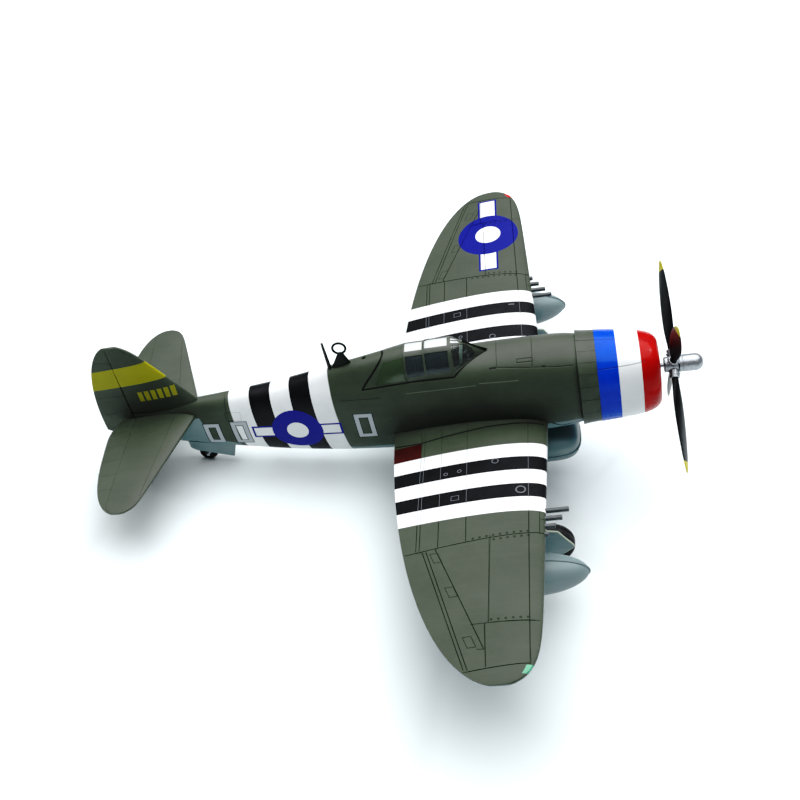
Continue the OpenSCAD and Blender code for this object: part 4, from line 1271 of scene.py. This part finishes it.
def column_set(y, grooves):
    """Chord fractions of the grid columns at y, and how deep each is cut."""
    lead, trail = float(WING.lead(y)), float(WING.trail(y))
    chord = lead - trail
    lines = column_lines(y)
    cuts = [cut and grooves for x, cut in lines]
    knots = [0.0, *((lead - x) / chord for x, cut in lines), 1.0]
    settle = smooth((y - 82.3) / 3.0)
    knots = [mix(k, e, settle) for k, e in zip(knots, TIP_KNOTS)]
    gap = 0.3 / max(chord, 3.0)
    for k in range(1, len(knots) - 1):
        knots[k] = max(knots[k], knots[k - 1] + gap)
    for k in range(len(knots) - 2, 0, -1):
        knots[k] = min(knots[k], knots[k + 1] - gap)
    half = min(GROOVE_W / 2 / chord, gap * 0.42)
    fractions, depths = [], []
    for k in range(len(knots) - 1):
        start = knots[k] + (half if k > 0 else 0)
        end = knots[k + 1] - (half if k < len(knots) - 2 else 0)
        if k > 0:
            fractions += [knots[k] - half * 0.45, knots[k] + half * 0.45]
            depths += [1.0 if cuts[k - 1] else 0.0] * 2
        steps = np.linspace(0, 1, FILL[k] + 1)
        if k == 0:
            steps = 1 - np.cos(steps * math.pi / 2)
        fractions += list(start + (end - start) * steps)
        depths += [0.0] * len(steps)
    return np.array(fractions), np.array(depths)


def rib_depth(x, y):
    """1 in the bottom of the chordwise grooves."""
    for (x0, y0), (x1, y1) in (RIB_IN, RIB_OUT, RIB_TIP):
        row_y = y0 + (y1 - y0) * (x - x0) / (x1 - x0)
        if min(x0, x1) <= x <= max(x0, x1) and abs(y - row_y) < GROOVE_W * 0.3:
            return 1.0
    return 0.0


def skewed(y, x):
    """Slants the grid rows so that they follow the ribs."""
    slant_in = -0.0712 * unit((y - 41) / 5) * unit((58 - y) / 8)
    slant_tip = -0.058 * unit((y - 76) / 5) * unit((85.5 - y) / 3)
    return y + slant_in * (x + 57) + slant_tip * (x + 51.5)


def wing_rows(grooves):
    rows = toward_tip(WING_ROOT_Y, WING_TIP_Y, 58)
    rows += [8.0, 8.8, 9.6, 10.1, 10.6, 11.2, 11.9, 12.6]
    if grooves:
        for centre in (47.76, 71.1, 82.08):
            rows = [r for r in rows if abs(r - centre) > 0.35]
            rows += [centre + k * GROOVE_W for k in (-0.5, -0.225, 0.225, 0.5)]
    return sorted(rows)


def wing_surface(side, grooves):
    """Outer and inner grid of one wing half; side is 1 above and -1 below."""
    outer, inner = [], []
    for row_y in wing_rows(grooves):
        fractions, depths = column_set(row_y, grooves)
        out_row, in_row = [], []
        for f, depth in zip(fractions, depths):
            y = skewed(row_y, chord_x(WING, row_y, f))
            x = chord_x(WING, y, f)
            cut = max(depth, rib_depth(x, y)) if grooves else 0
            full = wing_skin(side, y, f)
            edge = float(np.interp(x, ROOT_SEAM_X, ROOT_SEAM_Y))
            inside = unit((edge - y) / (edge - 7.4))
            fillet = ROOT_LIFT * inside**1.6 * smooth(f * 6) if side > 0 else 0
            base = chord_plane(x, y)
            cut_depth = GROOVE_D * cut if full > 0.3 else 0
            out_row.append((x, y, base + side * (full - cut_depth + fillet)))
            in_row.append((x, y, base + side * max(0, full - WING_WALL)))
        outer.append(out_row)
        inner.append(in_row)
    return shell(outer, inner)


WING_SHARP = 32
wing_top = [wing_surface(1, True)]
for side, word in SIDES:
    solids = sided(wing_top, side)
    fixed(f"wing_top_{word}", solids, "olive_skin", OLIVE_TOP[side], f"wing_upper_{word}", sharp=WING_SHARP)
wing_under = [wing_surface(-1, False)]
both("wing_under_{}", wing_under, "grey_skin", WING_UNDER, "wing_lower_{}", sharp=WING_SHARP)

# Gun barrels: long tubes with a drilled muzzle, each further back than the one inboard
GUN_Y, GUN_STEP, MUZZLE_X, STAGGER = 38.9, 2.43, -35.1, 1.6
GUN_R, BORE_R, BORE_LEN = 0.58, 0.32, 1.5


def gun_set():
    solids = []
    for k in range(4):
        y = GUN_Y + k * GUN_STEP
        x = MUZZLE_X - k * STAGGER
        back = float(WING.lead(y)) - 1.2
        length = x - back
        barrel = [(0, AXIS_R), (0, GUN_R), (length - 0.16, GUN_R)]
        muzzle = [(length - 0.05, GUN_R - 0.04), (length, GUN_R - 0.12), (length, BORE_R)]
        bore = [(length - BORE_LEN, BORE_R), (length - BORE_LEN, AXIS_R)]
        at = (back, y, chord_plane(x, y))
        solids.append(lathe(barrel + muzzle + bore, at, (1, 0, 0), 32))
    return solids


def light_patch():
    """Wing-tip lens: a patch that follows the leading edge, a little proud of the skin."""
    ys = np.linspace(82.1, 84.0, 9)
    above = [(1, f) for f in np.linspace(0.2, 0.0, 9) ** 1.5]
    below = [(-1, f) for f in np.linspace(0.01, 0.07, 7)]
    outer, inner = [], []
    for y in ys:
        swell = 0.03 + 0.09 * math.sin(math.pi * (y - ys[0]) / (ys[-1] - ys[0]))
        out_row, in_row = [], []
        for side, f in above + below:
            x = chord_x(WING, y, f)
            full = wing_skin(side, y, f)
            base = chord_plane(x, y)
            out_row.append((x + (swell * 0.6 if f < 0.02 else 0), y, base + side * (full + swell * 0.5)))
            in_row.append((x - 0.3, y, base + side * max(0, full - 0.35)))
        outer.append(out_row)
        inner.append(in_row)
    return shell(outer, inner)


both("guns_{}", gun_set(), "gunmetal", GUN_METAL, "gun_barrels_{}")
for (side, word), slot, lens in zip(SIDES, ("red_lens", "green_lens"), (RED_LENS, GREEN_LENS)):
    fixed(f"tip_lens_{word}", sided([light_patch()], side), slot, lens, f"tip_light_{word}")

# ------------------------------------------------------------------ tail surfaces

RING_POINTS, AHEAD_POINTS, BEHIND_POINTS = 31, 17, 10
HINGE_D = 0.1
STAB_ROOT_Y, STAB_TIP_Y = 1.6, STAB.span * 0.997
FIN_TIP_Z = FIN.span * 0.984
HINGE_GAP = 0.006


def even_rings(s, ys, front, back, hinge=None):
    """Solid aerofoil; front(y) and back(y) give its chord fractions, hinge(y) cuts a line."""
    rings = []
    for y in ys:
        if hinge is None:
            fs = mix(front(y), back(y), cosine(RING_POINTS))
            cut = np.zeros(RING_POINTS)
        else:
            h = hinge(y)
            chord = float(s.lead(y)) - float(s.trail(y))
            half = min(0.12 / max(chord, 1.5), (back(y) - h) * 0.3)
            eased = 1 - np.cos(np.linspace(0, 0.5, AHEAD_POINTS) * math.pi)
            ahead = front(y) + (h - half - front(y)) * eased
            groove = [h - half * 0.4, h + half * 0.4, h + half * 0.99]
            behind = np.linspace(h + half, back(y), BEHIND_POINTS)[1:]
            fs = np.concatenate([ahead, groove, behind, [back(y)]])
            cut = np.zeros(len(fs))
            cut[AHEAD_POINTS:AHEAD_POINTS + 2] = 1
        x = chord_x(s, y, fs)
        half_t = EDGE_T + s.half_thickness(y, unit(fs)) - cut * HINGE_D
        top = np.column_stack([x, np.full(len(x), y), half_t])
        rings.append(np.concatenate([top, top[::-1] * np.array([1, 1, -1])]))
    return loft(rings)


def nub(at, size, direction):
    """Small moulding nub left on an edge."""
    at, direction = np.asarray(at, float), np.asarray(direction, float)
    root, end = at - direction * size * 0.6, at + direction * size * 0.5
    return rod(root, end, size * 0.55, size * 0.4, 0.05, 10)


def at_lead(y):
    return 0.0


def stab_back(y):
    """The trailing edge is cut away beside the rudder."""
    return 1 - 0.11 * (1 - float(unit((y - STAB_ROOT_Y) / 7))) ** 2


def stab_hinge(y):
    hinge_x = mix(-143.2, -144.6, unit(y / 31))
    return min(0.9, float(unit((STAB.lead(y) - hinge_x) / (STAB.lead(y) - STAB.trail(y)))))


stab_ys = toward_tip(STAB_ROOT_Y, STAB_TIP_Y, 40)
stabilizer = shifted(even_rings(STAB, stab_ys, at_lead, stab_back, stab_hinge), (0, 0, STAB_Z))
NUB_Y = 20.0
stab_nub = nub((float(STAB.trail(NUB_Y)) + 0.05, NUB_Y, STAB_Z), 0.42, (-1, 0, 0))
both("tailplane_{}", [stabilizer, stab_nub], "olive_skin", STAB_PAINT, "stabilizer_{}")


def upright(solid):
    """Stands a flying surface on edge."""
    points, faces = solid
    return np.column_stack([points[:, 0], -points[:, 2], points[:, 1]]), faces


def fin_back(y, gap=-HINGE_GAP):
    """Chord fraction at the rudder hinge, a little ahead of it or behind it."""
    return float((FIN.lead(y) - RUDDER_HINGE_X) / (FIN.lead(y) - FIN.trail(y))) + gap


def rudder_front(y):
    return fin_back(y, HINGE_GAP)


def rudder_back(y):
    return 0.95 if y < -1.5 else 0.996


fin_ys = toward_tip(4.4, FIN_TIP_Z, 26)
rudder_ys = [-2, -1.2, -0.4, *toward_tip(0.5, FIN_TIP_Z, 28)]
fin = upright(even_rings(FIN, fin_ys, at_lead, fin_back))
rudder = upright(even_rings(FIN, rudder_ys, rudder_front, rudder_back))
fixed("fin_skin", [fin], "olive_skin", FIN_PAINT, "fin")
fixed("rudder_skin", [rudder], "olive_skin", FIN_PAINT, "rudder")

# ------------------------------------------------------------------ propeller

# Blade stations: reach, half chord, half thickness and angle of the section
BLADE = np.array([
    [2.4, 0.9, 0.9, 50], [4.2, 0.9, 0.85, 50], [6.5, 1.3, 0.6, 46], [9.5, 1.75, 0.45, 40],
    [14, 2.1, 0.36, 33], [19, 2.1, 0.3, 27], [23, 1.75, 0.25, 23], [25.6, 1.1, 0.2, 21],
    [26.6, 0.65, 0.18, 20], [27, 0.25, 0.15, 20],
])
TIP_FROM, BLADE_TIP = 22, 26.98


def about_x(solid, degrees):
    points, faces = solid
    c, s = math.cos(math.radians(degrees)), math.sin(math.radians(degrees))
    x, y, z = points.T
    return np.column_stack([x, y * c - z * s, y * s + z * c]), faces


def blade_solid():
    stations = BLADE * np.array([-1, 1, 1, 1])
    near_tip = np.sin(np.linspace(0.05, 1, 14) * math.pi / 2)
    rings = []
    for r in [*np.linspace(BLADE[0][0], TIP_FROM, 26), *mix(TIP_FROM, BLADE_TIP, near_tip)]:
        _, w, t, beta = row_at(stations, -r)
        c, s = math.cos(math.radians(beta)), math.sin(math.radians(beta))
        ring = []
        for a in circle(28):
            u = w * math.cos(a)
            flat = abs(math.sin(a)) ** 1.25 * math.copysign(1, math.sin(a))
            v = t * (flat if flat > 0 else flat * 0.8)
            ring.append((u * s + v * c, v * s - u * c, r))
        rings.append(ring)
    return loft(rings)


def blade_angle(k):
    return PROP_ANGLE + 90 * (k - 1)


for k in range(4):
    turned = shifted(about_x(blade_solid(), blade_angle(k)), (PROP_X, 0, 0))
    piece(f"propeller_blade_{k + 1}", [turned], "propeller", "prop_black", BLADE_PAINT, [f"blade_{k + 1}"])

DOME_R, DOME_CAP = 2.1, 2.0
cap_angles = np.radians(range(6, 91, 6))
dome = [(0, AXIS_R), *((DOME_CAP * (1 - math.cos(a)), DOME_R * math.sin(a)) for a in cap_angles)]
dome += [(4.9, DOME_R), (5.0, 2.02), (5.1, 2.02), (5.2, DOME_R), (5.75, DOME_R), (5.9, 1.95), (5.9, AXIS_R)]
barrel = [(0, AXIS_R), (0, 1.75), (0.2, 1.9), (3.3, 1.9), (3.5, 1.7), (3.5, AXIS_R)]
hub_parts = [lathe(dome, (-0.02, 0, 0), (-1, 0, 0), 64)]
hub_parts.append(lathe(barrel, (PROP_X + 1.3, 0, 0), (-1, 0, 0), 48))

# Blade sockets: a collar with a clamp ring, held by a bolt on each side
SOCKET = [
    (0, AXIS_R), (0, 1.25), (0.7, 1.25), (0.75, 1.36), (1.15, 1.36), (1.2, 1.25), (1.75, 1.25),
    (1.9, 1.12), (1.9, 0.92), (0.9, 0.92), (0.9, AXIS_R),
]
BOLT_OUT, BOLT_HALF, BOLT_Z = 1.25, 0.75, 2.65
socket_parts = [lathe(SOCKET, (PROP_X, 0, 1.7), (0, 0, 1), 40)]
for end in (-1, 1):
    x = PROP_X + end * BOLT_OUT
    socket_parts.append(rod((x, BOLT_HALF, BOLT_Z), (x, -BOLT_HALF, BOLT_Z), 0.2, None, 0.05, 12))
for k in range(4):
    hub_parts += [about_x(part, blade_angle(k)) for part in socket_parts]
piece("propeller_hub", hub_parts, "propeller", "bare_metal", DOME_METAL, ["prop_hub"])

# ------------------------------------------------------------------ tanks and pylons


def tank_radius(f, r):
    return r * np.sin(math.pi * unit(f) ** 0.72) ** 0.7


def tank_half():
    """Outboard half of an underwing tank, closed by the raised seam that runs round it."""
    fs = cosine(61)
    outline = np.column_stack([fs * TANK_LEN, np.maximum(tank_radius(fs, TANK_R), 0.02)])
    back = fs[::-1]
    hollow_r = np.maximum(tank_radius(back, TANK_R - 0.7), 0.02)
    hollow = np.column_stack([0.8 + back * (TANK_LEN - 1.6), hollow_r])
    nose = (TANK_NOSE_X, TANK_Y, TANK_Z)
    half = lathe(np.concatenate([outline, hollow]), nose, (-1, 0, 0), 40, -90, 90)
    loops = []
    for past, swell in ((0.3, 0.22), (-0.8, -0.7)):
        x = TANK_NOSE_X + past - fs * (TANK_LEN + 2 * past)
        r = tank_radius(fs, TANK_R + swell)
        y = np.full(len(fs), TANK_Y)
        upper = np.column_stack([x, y, TANK_Z + r])
        lower = np.column_stack([x, y, TANK_Z - r])[::-1]
        loops.append(np.concatenate([upper, lower[1:-1]]))
    rim, inside = loops
    width = np.array([0, 0.16, 0])
    rings = [inside, rim, rim + width * 0.6, mix(rim, inside, 0.06) + width, inside + width]
    return [half, loft(rings, around=True)]


def pylon():
    """Streamlined pylon, flared where it meets the wing and the tank."""
    low, high = TANK_Z + TANK_R - 0.5, chord_plane(-50, TANK_Y) - 1.2
    rings = []
    for t in np.linspace(0, 1, 11):
        flare = 1 + 0.5 * (1 - t) ** 6 + 0.4 * t**6
        fs = cosine(21)
        half = 16 * 0.16 * section(fs) * flare
        x = -42.5 - 16 * fs
        z = np.full(len(fs), mix(low, high, t))
        near = np.column_stack([x, TANK_Y + half, z])
        far = np.column_stack([x, TANK_Y - half, z])[::-1]
        rings.append(np.concatenate([near, far[1:-1]]))
    braces = []
    for x, top_out, foot_out in ((-46.5, 1.15, 2.6), (-54.0, 1.0, 2.4)):
        top, foot = (x, TANK_Y + top_out, low + 0.9), (x, TANK_Y + foot_out, low - 0.2)
        braces.append(rod(top, foot, 0.22, None, 0.05, 12))
    return [loft(rings)] + braces + [mirrored(brace, TANK_Y) for brace in braces]


outboard = tank_half()
inboard = [mirrored(solid, TANK_Y) for solid in outboard]
both("drop_tank_{}_outer", outboard, "grey_skin", WING_TANK_PAINT, "tank_{}_outer")
both("drop_tank_{}_inner", inboard, "grey_skin", WING_TANK_PAINT, "tank_{}_inner")
both("tank_pylon_{}", pylon(), "grey_skin", GREY_PAINT, "pylon_{}")


def belly_grid(height, inset):
    """Skin of one half of the belly tank: blunt ends, flat sides and a rounded crown."""
    grid = []
    for f in cosine(33):
        s = max(0.02, (1 - abs(2 * f - 1) ** 8) ** 0.35)
        w, h = (BELLY_W - inset) * s, (height - inset) * s
        line = []
        x = BELLY_X - inset - f * (BELLY_LEN - 2 * inset)
        for a in np.radians(np.linspace(-90, 90, 41)):
            y = w * math.copysign(1, math.sin(a)) * abs(math.sin(a)) ** 0.7
            line.append((x, y, max(0.0, math.cos(a)) ** 0.7 * h))
        grid.append(line)
    return np.array(grid)


def belly_half(height, below):
    """One half of the belly tank with its half of the raised seam."""
    outer, inner = belly_grid(height, 0), belly_grid(height, 0.8)
    flip = np.array([1, 1, -1 if below else 1])
    move = np.array([0, 0, BELLY_Z])
    solid = shell(outer * flip + move, inner * flip + move)
    edge = np.concatenate([outer[:, 0], outer[::-1, -1][1:-1]])
    middle = edge.mean(0)
    reach = np.linalg.norm((edge - middle)[:, :2], axis=1, keepdims=True)
    out = middle + (edge - middle) * (1 + 0.28 / np.maximum(reach, 1))
    within = middle + (edge - middle) * (1 - 0.7 / np.maximum(reach, 1))
    thick = np.array([0, 0, -0.16 if below else 0.16])
    ring = loft([within + move, out + move, out + move + thick, within + move + thick], around=True)
    return [solid, ring]


fixed("belly_tank_top", belly_half(4.6, False), "grey_skin", BELLY_TANK_PAINT, "belly_tank_upper")
fixed("belly_tank_bottom", belly_half(3.5, True), "grey_skin", BELLY_TANK_PAINT, "belly_tank_lower")

# ------------------------------------------------------------------ landing gear

DOOR_Y, DOOR_T = LEG_Y + 1.25, 0.5
FORK = [(0, AXIS_R), (0, 1.1), (0.15, 1.25), (1.85, 1.25), (2.0, 1.1), (2.0, AXIS_R)]


def upright_plate(outline, y, thickness, soft):
    """Plate in a plane along the aeroplane, from y inboard by its thickness."""
    return plate(outline, thickness, (0, y, 0), (1, 0, 0), (0, 0, 1), soft)


def hose_line(points, count):
    """Smooth curve drawn toward four points."""
    a, b, c, d = points
    return [mix(mix(a, b, t), mix(c, d, t), t) for t in np.linspace(0, 1, count)]


def main_leg():
    """Main leg: stepped strut, axle with its boss, torque link in two arms, brake hose."""
    top = np.array([-46, LEG_Y, chord_plane(-46, LEG_Y) - 1.8])
    foot = np.array([MAIN_AXLE[0], LEG_Y, MAIN_AXLE[2]])
    knee = mix(top, foot, 0.55)
    length = float(np.linalg.norm(foot - top))
    steps = ((0.18, 1.15), (0.2, 1.0), (0.5, 1.0), (0.52, 1.15), (0.57, 1.15), (0.58, 0.98), (0.6, 0.8))
    profile = [(0, AXIS_R), (0, 1.05), (0.12, 1.15), *((length * f, r) for f, r in steps)]
    profile += [(length - 0.1, 0.8), (length, 0.7), (length, AXIS_R)]
    solids = [lathe(profile, top, foot - top, 40)]
    solids.append(lathe(FORK, foot + np.array([0, 1.1, 0]), (0, -1, 0), 40))
    solids.append(rod(foot, foot - np.array([0, 5.4, 0]), 0.6, None, 0.1, 32))
    elbow = knee + np.array([-2.8, 0, -2.6])
    for aside in (-0.42, 0.42):
        shift = np.array([0, aside, 0])
        solids.append(rod(knee + np.array([0.2, 0, 0.6]) + shift, elbow + shift, 0.26, 0.2, 0.04, 14))
        solids.append(rod(elbow + shift, foot + np.array([-0.4, 0, 1.6]) + shift, 0.2, 0.26, 0.04, 14))
    solids.append(rod(elbow + np.array([0, 0.75, 0]), elbow - np.array([0, 0.75, 0]), 0.32, None, 0.05, 18))
    beside = ((0, (-1.2, -0.4, 0)), (0.3, (-1.4, -0.5, 0)), (0.6, (-1.1, -0.6, 0)), (1, (-0.9, -0.7, 1)))
    hose = [mix(top, foot, t) + np.array(off) for t, off in beside]
    solids.append(tube(hose_line(hose, 18), 0.13, 10))
    return solids


def wheel_profile(r_in, r_out, width, bulge):
    """Tyre section: sidewalls that bulge, a rounded shoulder and three shallow grooves."""
    half = width / 2
    points = []
    for t in np.linspace(0, 1, 7):
        points.append((-half * mix(0.86, 1.0, math.sin(t * math.pi / 2)), mix(r_in, r_out - bulge, t)))
    for a in np.radians(np.linspace(10, 90, 9)):
        points.append((-half + bulge - bulge * math.cos(a), r_out - bulge + bulge * math.sin(a)))
    tread = []
    for c in (-0.55, 0.0, 0.55):
        flat = (half - bulge) * c
        for aside, deep in ((-0.09, 0), (-0.05, 0.09), (0.05, 0.09), (0.09, 0)):
            tread.append((flat + aside, r_out - deep))
    points += [p for p in tread if abs(p[0]) < half - bulge]
    points += [(-x, r) for x, r in points[:16][::-1]]
    return points


# Half section of a main wheel's hub, from the bore out to the rim
HUB = [
    (1.5, 0.65), (1.5, 1.1), (1.35, 1.2), (1.1, 1.25), (1.0, 1.5), (0.95, 2.5), (1.1, 2.8), (1.5, 2.95),
    (1.62, 3.1), (1.62, 3.3), (1.5, 3.4),
]


def hub_solid():
    profile = [(-y, r) for y, r in HUB] + HUB[::-1]
    solids = [lathe(profile, MAIN_AXLE, (0, 1, 0), 72)]
    for end in (-1, 1):
        for k in range(8):
            a = math.radians(45 * k + 22.5)
            at = MAIN_AXLE + np.array([2.0 * math.cos(a), end * 0.93, 2.0 * math.sin(a)])
            solids.append(rod(at, at + np.array([0, end * 0.16, 0]), 0.3, 0.24, 0.03, 14))
    return solids


door = upright_plate(rounded(DOOR, 0.25, 3), DOOR_Y + DOOR_T, DOOR_T, 0.08)
tyre = lathe(wheel_profile(3.4, 6, 3.6, 1.3), MAIN_AXLE, (0, 1, 0), 96)
both("leg_{}", main_leg(), "bare_metal", LEG_METAL, "strut_{}")
both("door_{}", [door], "grey_skin", MAIN_DOOR_PAINT, "gear_door_{}")
both("wheel_hub_{}", hub_solid(), "bare_metal", LEG_METAL, "hub_{}", "wheel_{}")
both("wheel_tyre_{}", [tyre], "tyre_rubber", RUBBER, "tyre_{}", "wheel_{}")

TAIL_RIM = [(0.75, 0.45), (0.75, 1.4), (0.6, 1.5), (0.5, 1.62)]
tread = [(-0.85 * math.cos(a), 1.65 + 0.85 * math.sin(a)) for a in np.radians(np.linspace(8, 172, 19))]
tail_profile = [(-y, r) for y, r in TAIL_RIM] + tread + TAIL_RIM[::-1]
tail_tyre = lathe(tail_profile, TAIL_AXLE, (0, 1, 0), 72)
piece("tail_tyre", [tail_tyre], "wheel_tail", "tyre_rubber", RUBBER, ["tail_wheel"])

TAIL_DOOR = [(-132, -6.4), (-132, -8.8), (-130.8, -9.9), (-121.4, -13.5), (-119.9, -9.2)]
tail_door = upright_plate(rounded(TAIL_DOOR, 0.3, 3), 2.4, 0.4, 0.07)
both("tail_gear_door_{}", [tail_door], "grey_skin", DOOR_PAINT, "tail_door_{}")

# ------------------------------------------------------------------ aerials

MAST_FOOT, MAST_H, MAST_LEAN = np.array([-90.1, 0, 10.6]), 8.5, math.radians(1.5)
mast_top = MAST_FOOT + np.array([-math.sin(MAST_LEAN), 0, math.cos(MAST_LEAN)]) * MAST_H
mast_path = [mix(MAST_FOOT, mast_top, t) for t in np.linspace(0, 1, 12)]
mast = tube(mast_path, np.linspace(0.5, 0.3, 12), 20)
fixed("mast", [mast], "black_trim", TRIM_PAINT, "antenna_mast")

LOOP_CENTRE, LOOP_R, LOOP_TUBE = np.array([-86.5, 0, 17.0]), 1.6, 0.3
SIDEWAYS = np.array([0, 1, 0])


def loop_ring(a):
    """Section of the loop's tube at an angle round the loop."""
    radial = np.array([math.cos(a), 0, math.sin(a)])
    b = circle(16)[:, None]
    return LOOP_CENTRE + radial * (LOOP_R + LOOP_TUBE * np.cos(b)) + SIDEWAYS * LOOP_TUBE * np.sin(b)


def fairing_ring(t):
    """Section of the fairing, from the spine (t 0) up to its narrow top (t 1)."""
    rear, front = mix(-89.6, -87.3, t), mix(-84.2, -85.7, t)
    a = circle(32)
    x = (rear + front) / 2 + (front - rear) / 2 * np.cos(a)
    return np.column_stack([x, mix(0.62, 0.3, t) * np.sin(a), np.full(32, mix(11.2, 15.3, t))])


loop_parts = [
    loft([loop_ring(a) for a in circle(48)], around=True),
    rod((-86.5, 0, 15.0), (-86.5, 0, 15.75), 0.42, 0.36, 0.08, 18),
    loft([fairing_ring(t) for t in np.linspace(0, 1, 10)]),
]
fixed("loop_and_fairing", loop_parts, "black_trim", LOOP_PAINT, "loop_antenna")

# ------------------------------------------------------------------ kept CAD nodes

KEPT = {
    "firewall": INSIDE_PAINT,
    "crankcase": CASE_PAINT,
    "cylinders_front": ENGINE_PAINT,
    "cylinders_rear": ENGINE_PAINT,
    "ignition_ring": BRASS,
    "cockpit_tub": COCKPIT_PAINT,
    "seat": COCKPIT_PAINT,
    "head_armour": COCKPIT_PAINT,
    "instrument_panel": TRIM_PAINT,
    "control_stick": TRIM_PAINT,
    "gunsight": TRIM_PAINT,
    "prop_shaft": DOME_METAL,
    "tail_strut": LEG_METAL,
}
for node, material in KEPT.items():
    slots = frame["nodes"][node].material_slots
    if not slots:
        frame["nodes"][node].data.materials.append(material)
    for entry in slots:
        entry.material = material

# ------------------------------------------------------------------ stage, light, camera

FLOOR_HALF = 3.0
FLOOR_COLOUR = (0.84, 0.90, 0.915)


def make_floor():
    mesh = bpy.data.meshes.new("floor")
    steps = 12
    row = steps + 1
    grid = np.linspace(-FLOOR_HALF, FLOOR_HALF, row)
    points = [(x, y, 0.0) for x in grid for y in grid]
    corners = [i * row + j for i in range(steps) for j in range(steps)]
    mesh.from_pydata(points, [], [[c, c + row, c + row + 1, c + 1] for c in corners])
    p = Paint("floor_paper")
    mesh.materials.append(p.finish(p.mottled(FLOOR_COLOUR, 0.01, 0.02), rough=0.8, grain=0.05))
    floor = bpy.data.objects.new("floor", mesh)
    bpy.context.scene.collection.objects.link(floor)


def area_light(name, at, target, size, power, colour=(1, 1, 1)):
    light = bpy.data.lights.new(name, "AREA")
    light.shape = "DISK"
    light.size = size
    light.energy = power
    light.color = colour
    obj = bpy.data.objects.new(name, light)
    obj.location = at
    obj.rotation_euler = (Vector(target) - Vector(at)).to_track_quat("-Z", "Y").to_euler()
    bpy.context.scene.collection.objects.link(obj)


make_floor()
CENTRE = (0.0, 0.0, 0.02)
area_light("key", (0.0, 0.22, 0.85), CENTRE, 1.5, 19.5)
area_light("fill", (0.45, 0.25, 0.55), CENTRE, 0.05, 0.45)

world = bpy.data.worlds.new("studio")
world.use_nodes = True
world.node_tree.nodes["Background"].inputs[0].default_value = (0.86, 0.93, 1.0, 1)
world.node_tree.nodes["Background"].inputs[1].default_value = 0.15
bpy.context.scene.world = world

# Camera: position in level millimetres, azimuth, elevation and roll in the level frame
CAMERA_AT = (-27.9479, -214.5508, 195.2235)
CAMERA_AZ, CAMERA_EL, CAMERA_ROLL = 12.35822, 41.93980, -14.50909
CAMERA_LENS, CAMERA_SENSOR = 52.628, 36.0


def make_camera():
    az, el, roll = (math.radians(a) for a in (CAMERA_AZ, CAMERA_EL, CAMERA_ROLL))
    back = np.array([math.sin(az) * math.cos(el), -math.cos(az) * math.cos(el), math.sin(el)])
    right = np.cross(-back, [0, 0, 1])
    right /= np.linalg.norm(right)
    up = np.cross(right, -back)
    across = math.cos(roll) * right + math.sin(roll) * up
    upward = -math.sin(roll) * right + math.cos(roll) * up
    axes = Matrix([turn(across), turn(upward), turn(back)]).transposed()
    camera = bpy.data.objects.new("camera", bpy.data.cameras.new("camera"))
    camera.data.lens = CAMERA_LENS
    camera.data.sensor_width = CAMERA_SENSOR
    camera.data.clip_start = 0.01
    camera.matrix_world = Matrix.Translation(Vector(place([CAMERA_AT])[0])) @ axes.to_4x4()
    bpy.context.scene.collection.objects.link(camera)
    bpy.context.scene.camera = camera


make_camera()
bpy.context.scene.view_settings.view_transform = "Standard"
bpy.context.scene.view_settings.look = "None"
bpy.context.scene.view_settings.use_curve_mapping = True
tone_curves = bpy.context.scene.view_settings.curve_mapping
for seen, shown in ((0.02, 0.006), (0.05, 0.020), (0.1, 0.082), (0.14, 0.136), (0.2, 0.198)):
    tone_curves.curves[3].points.new(seen, shown)
tone_curves.update()
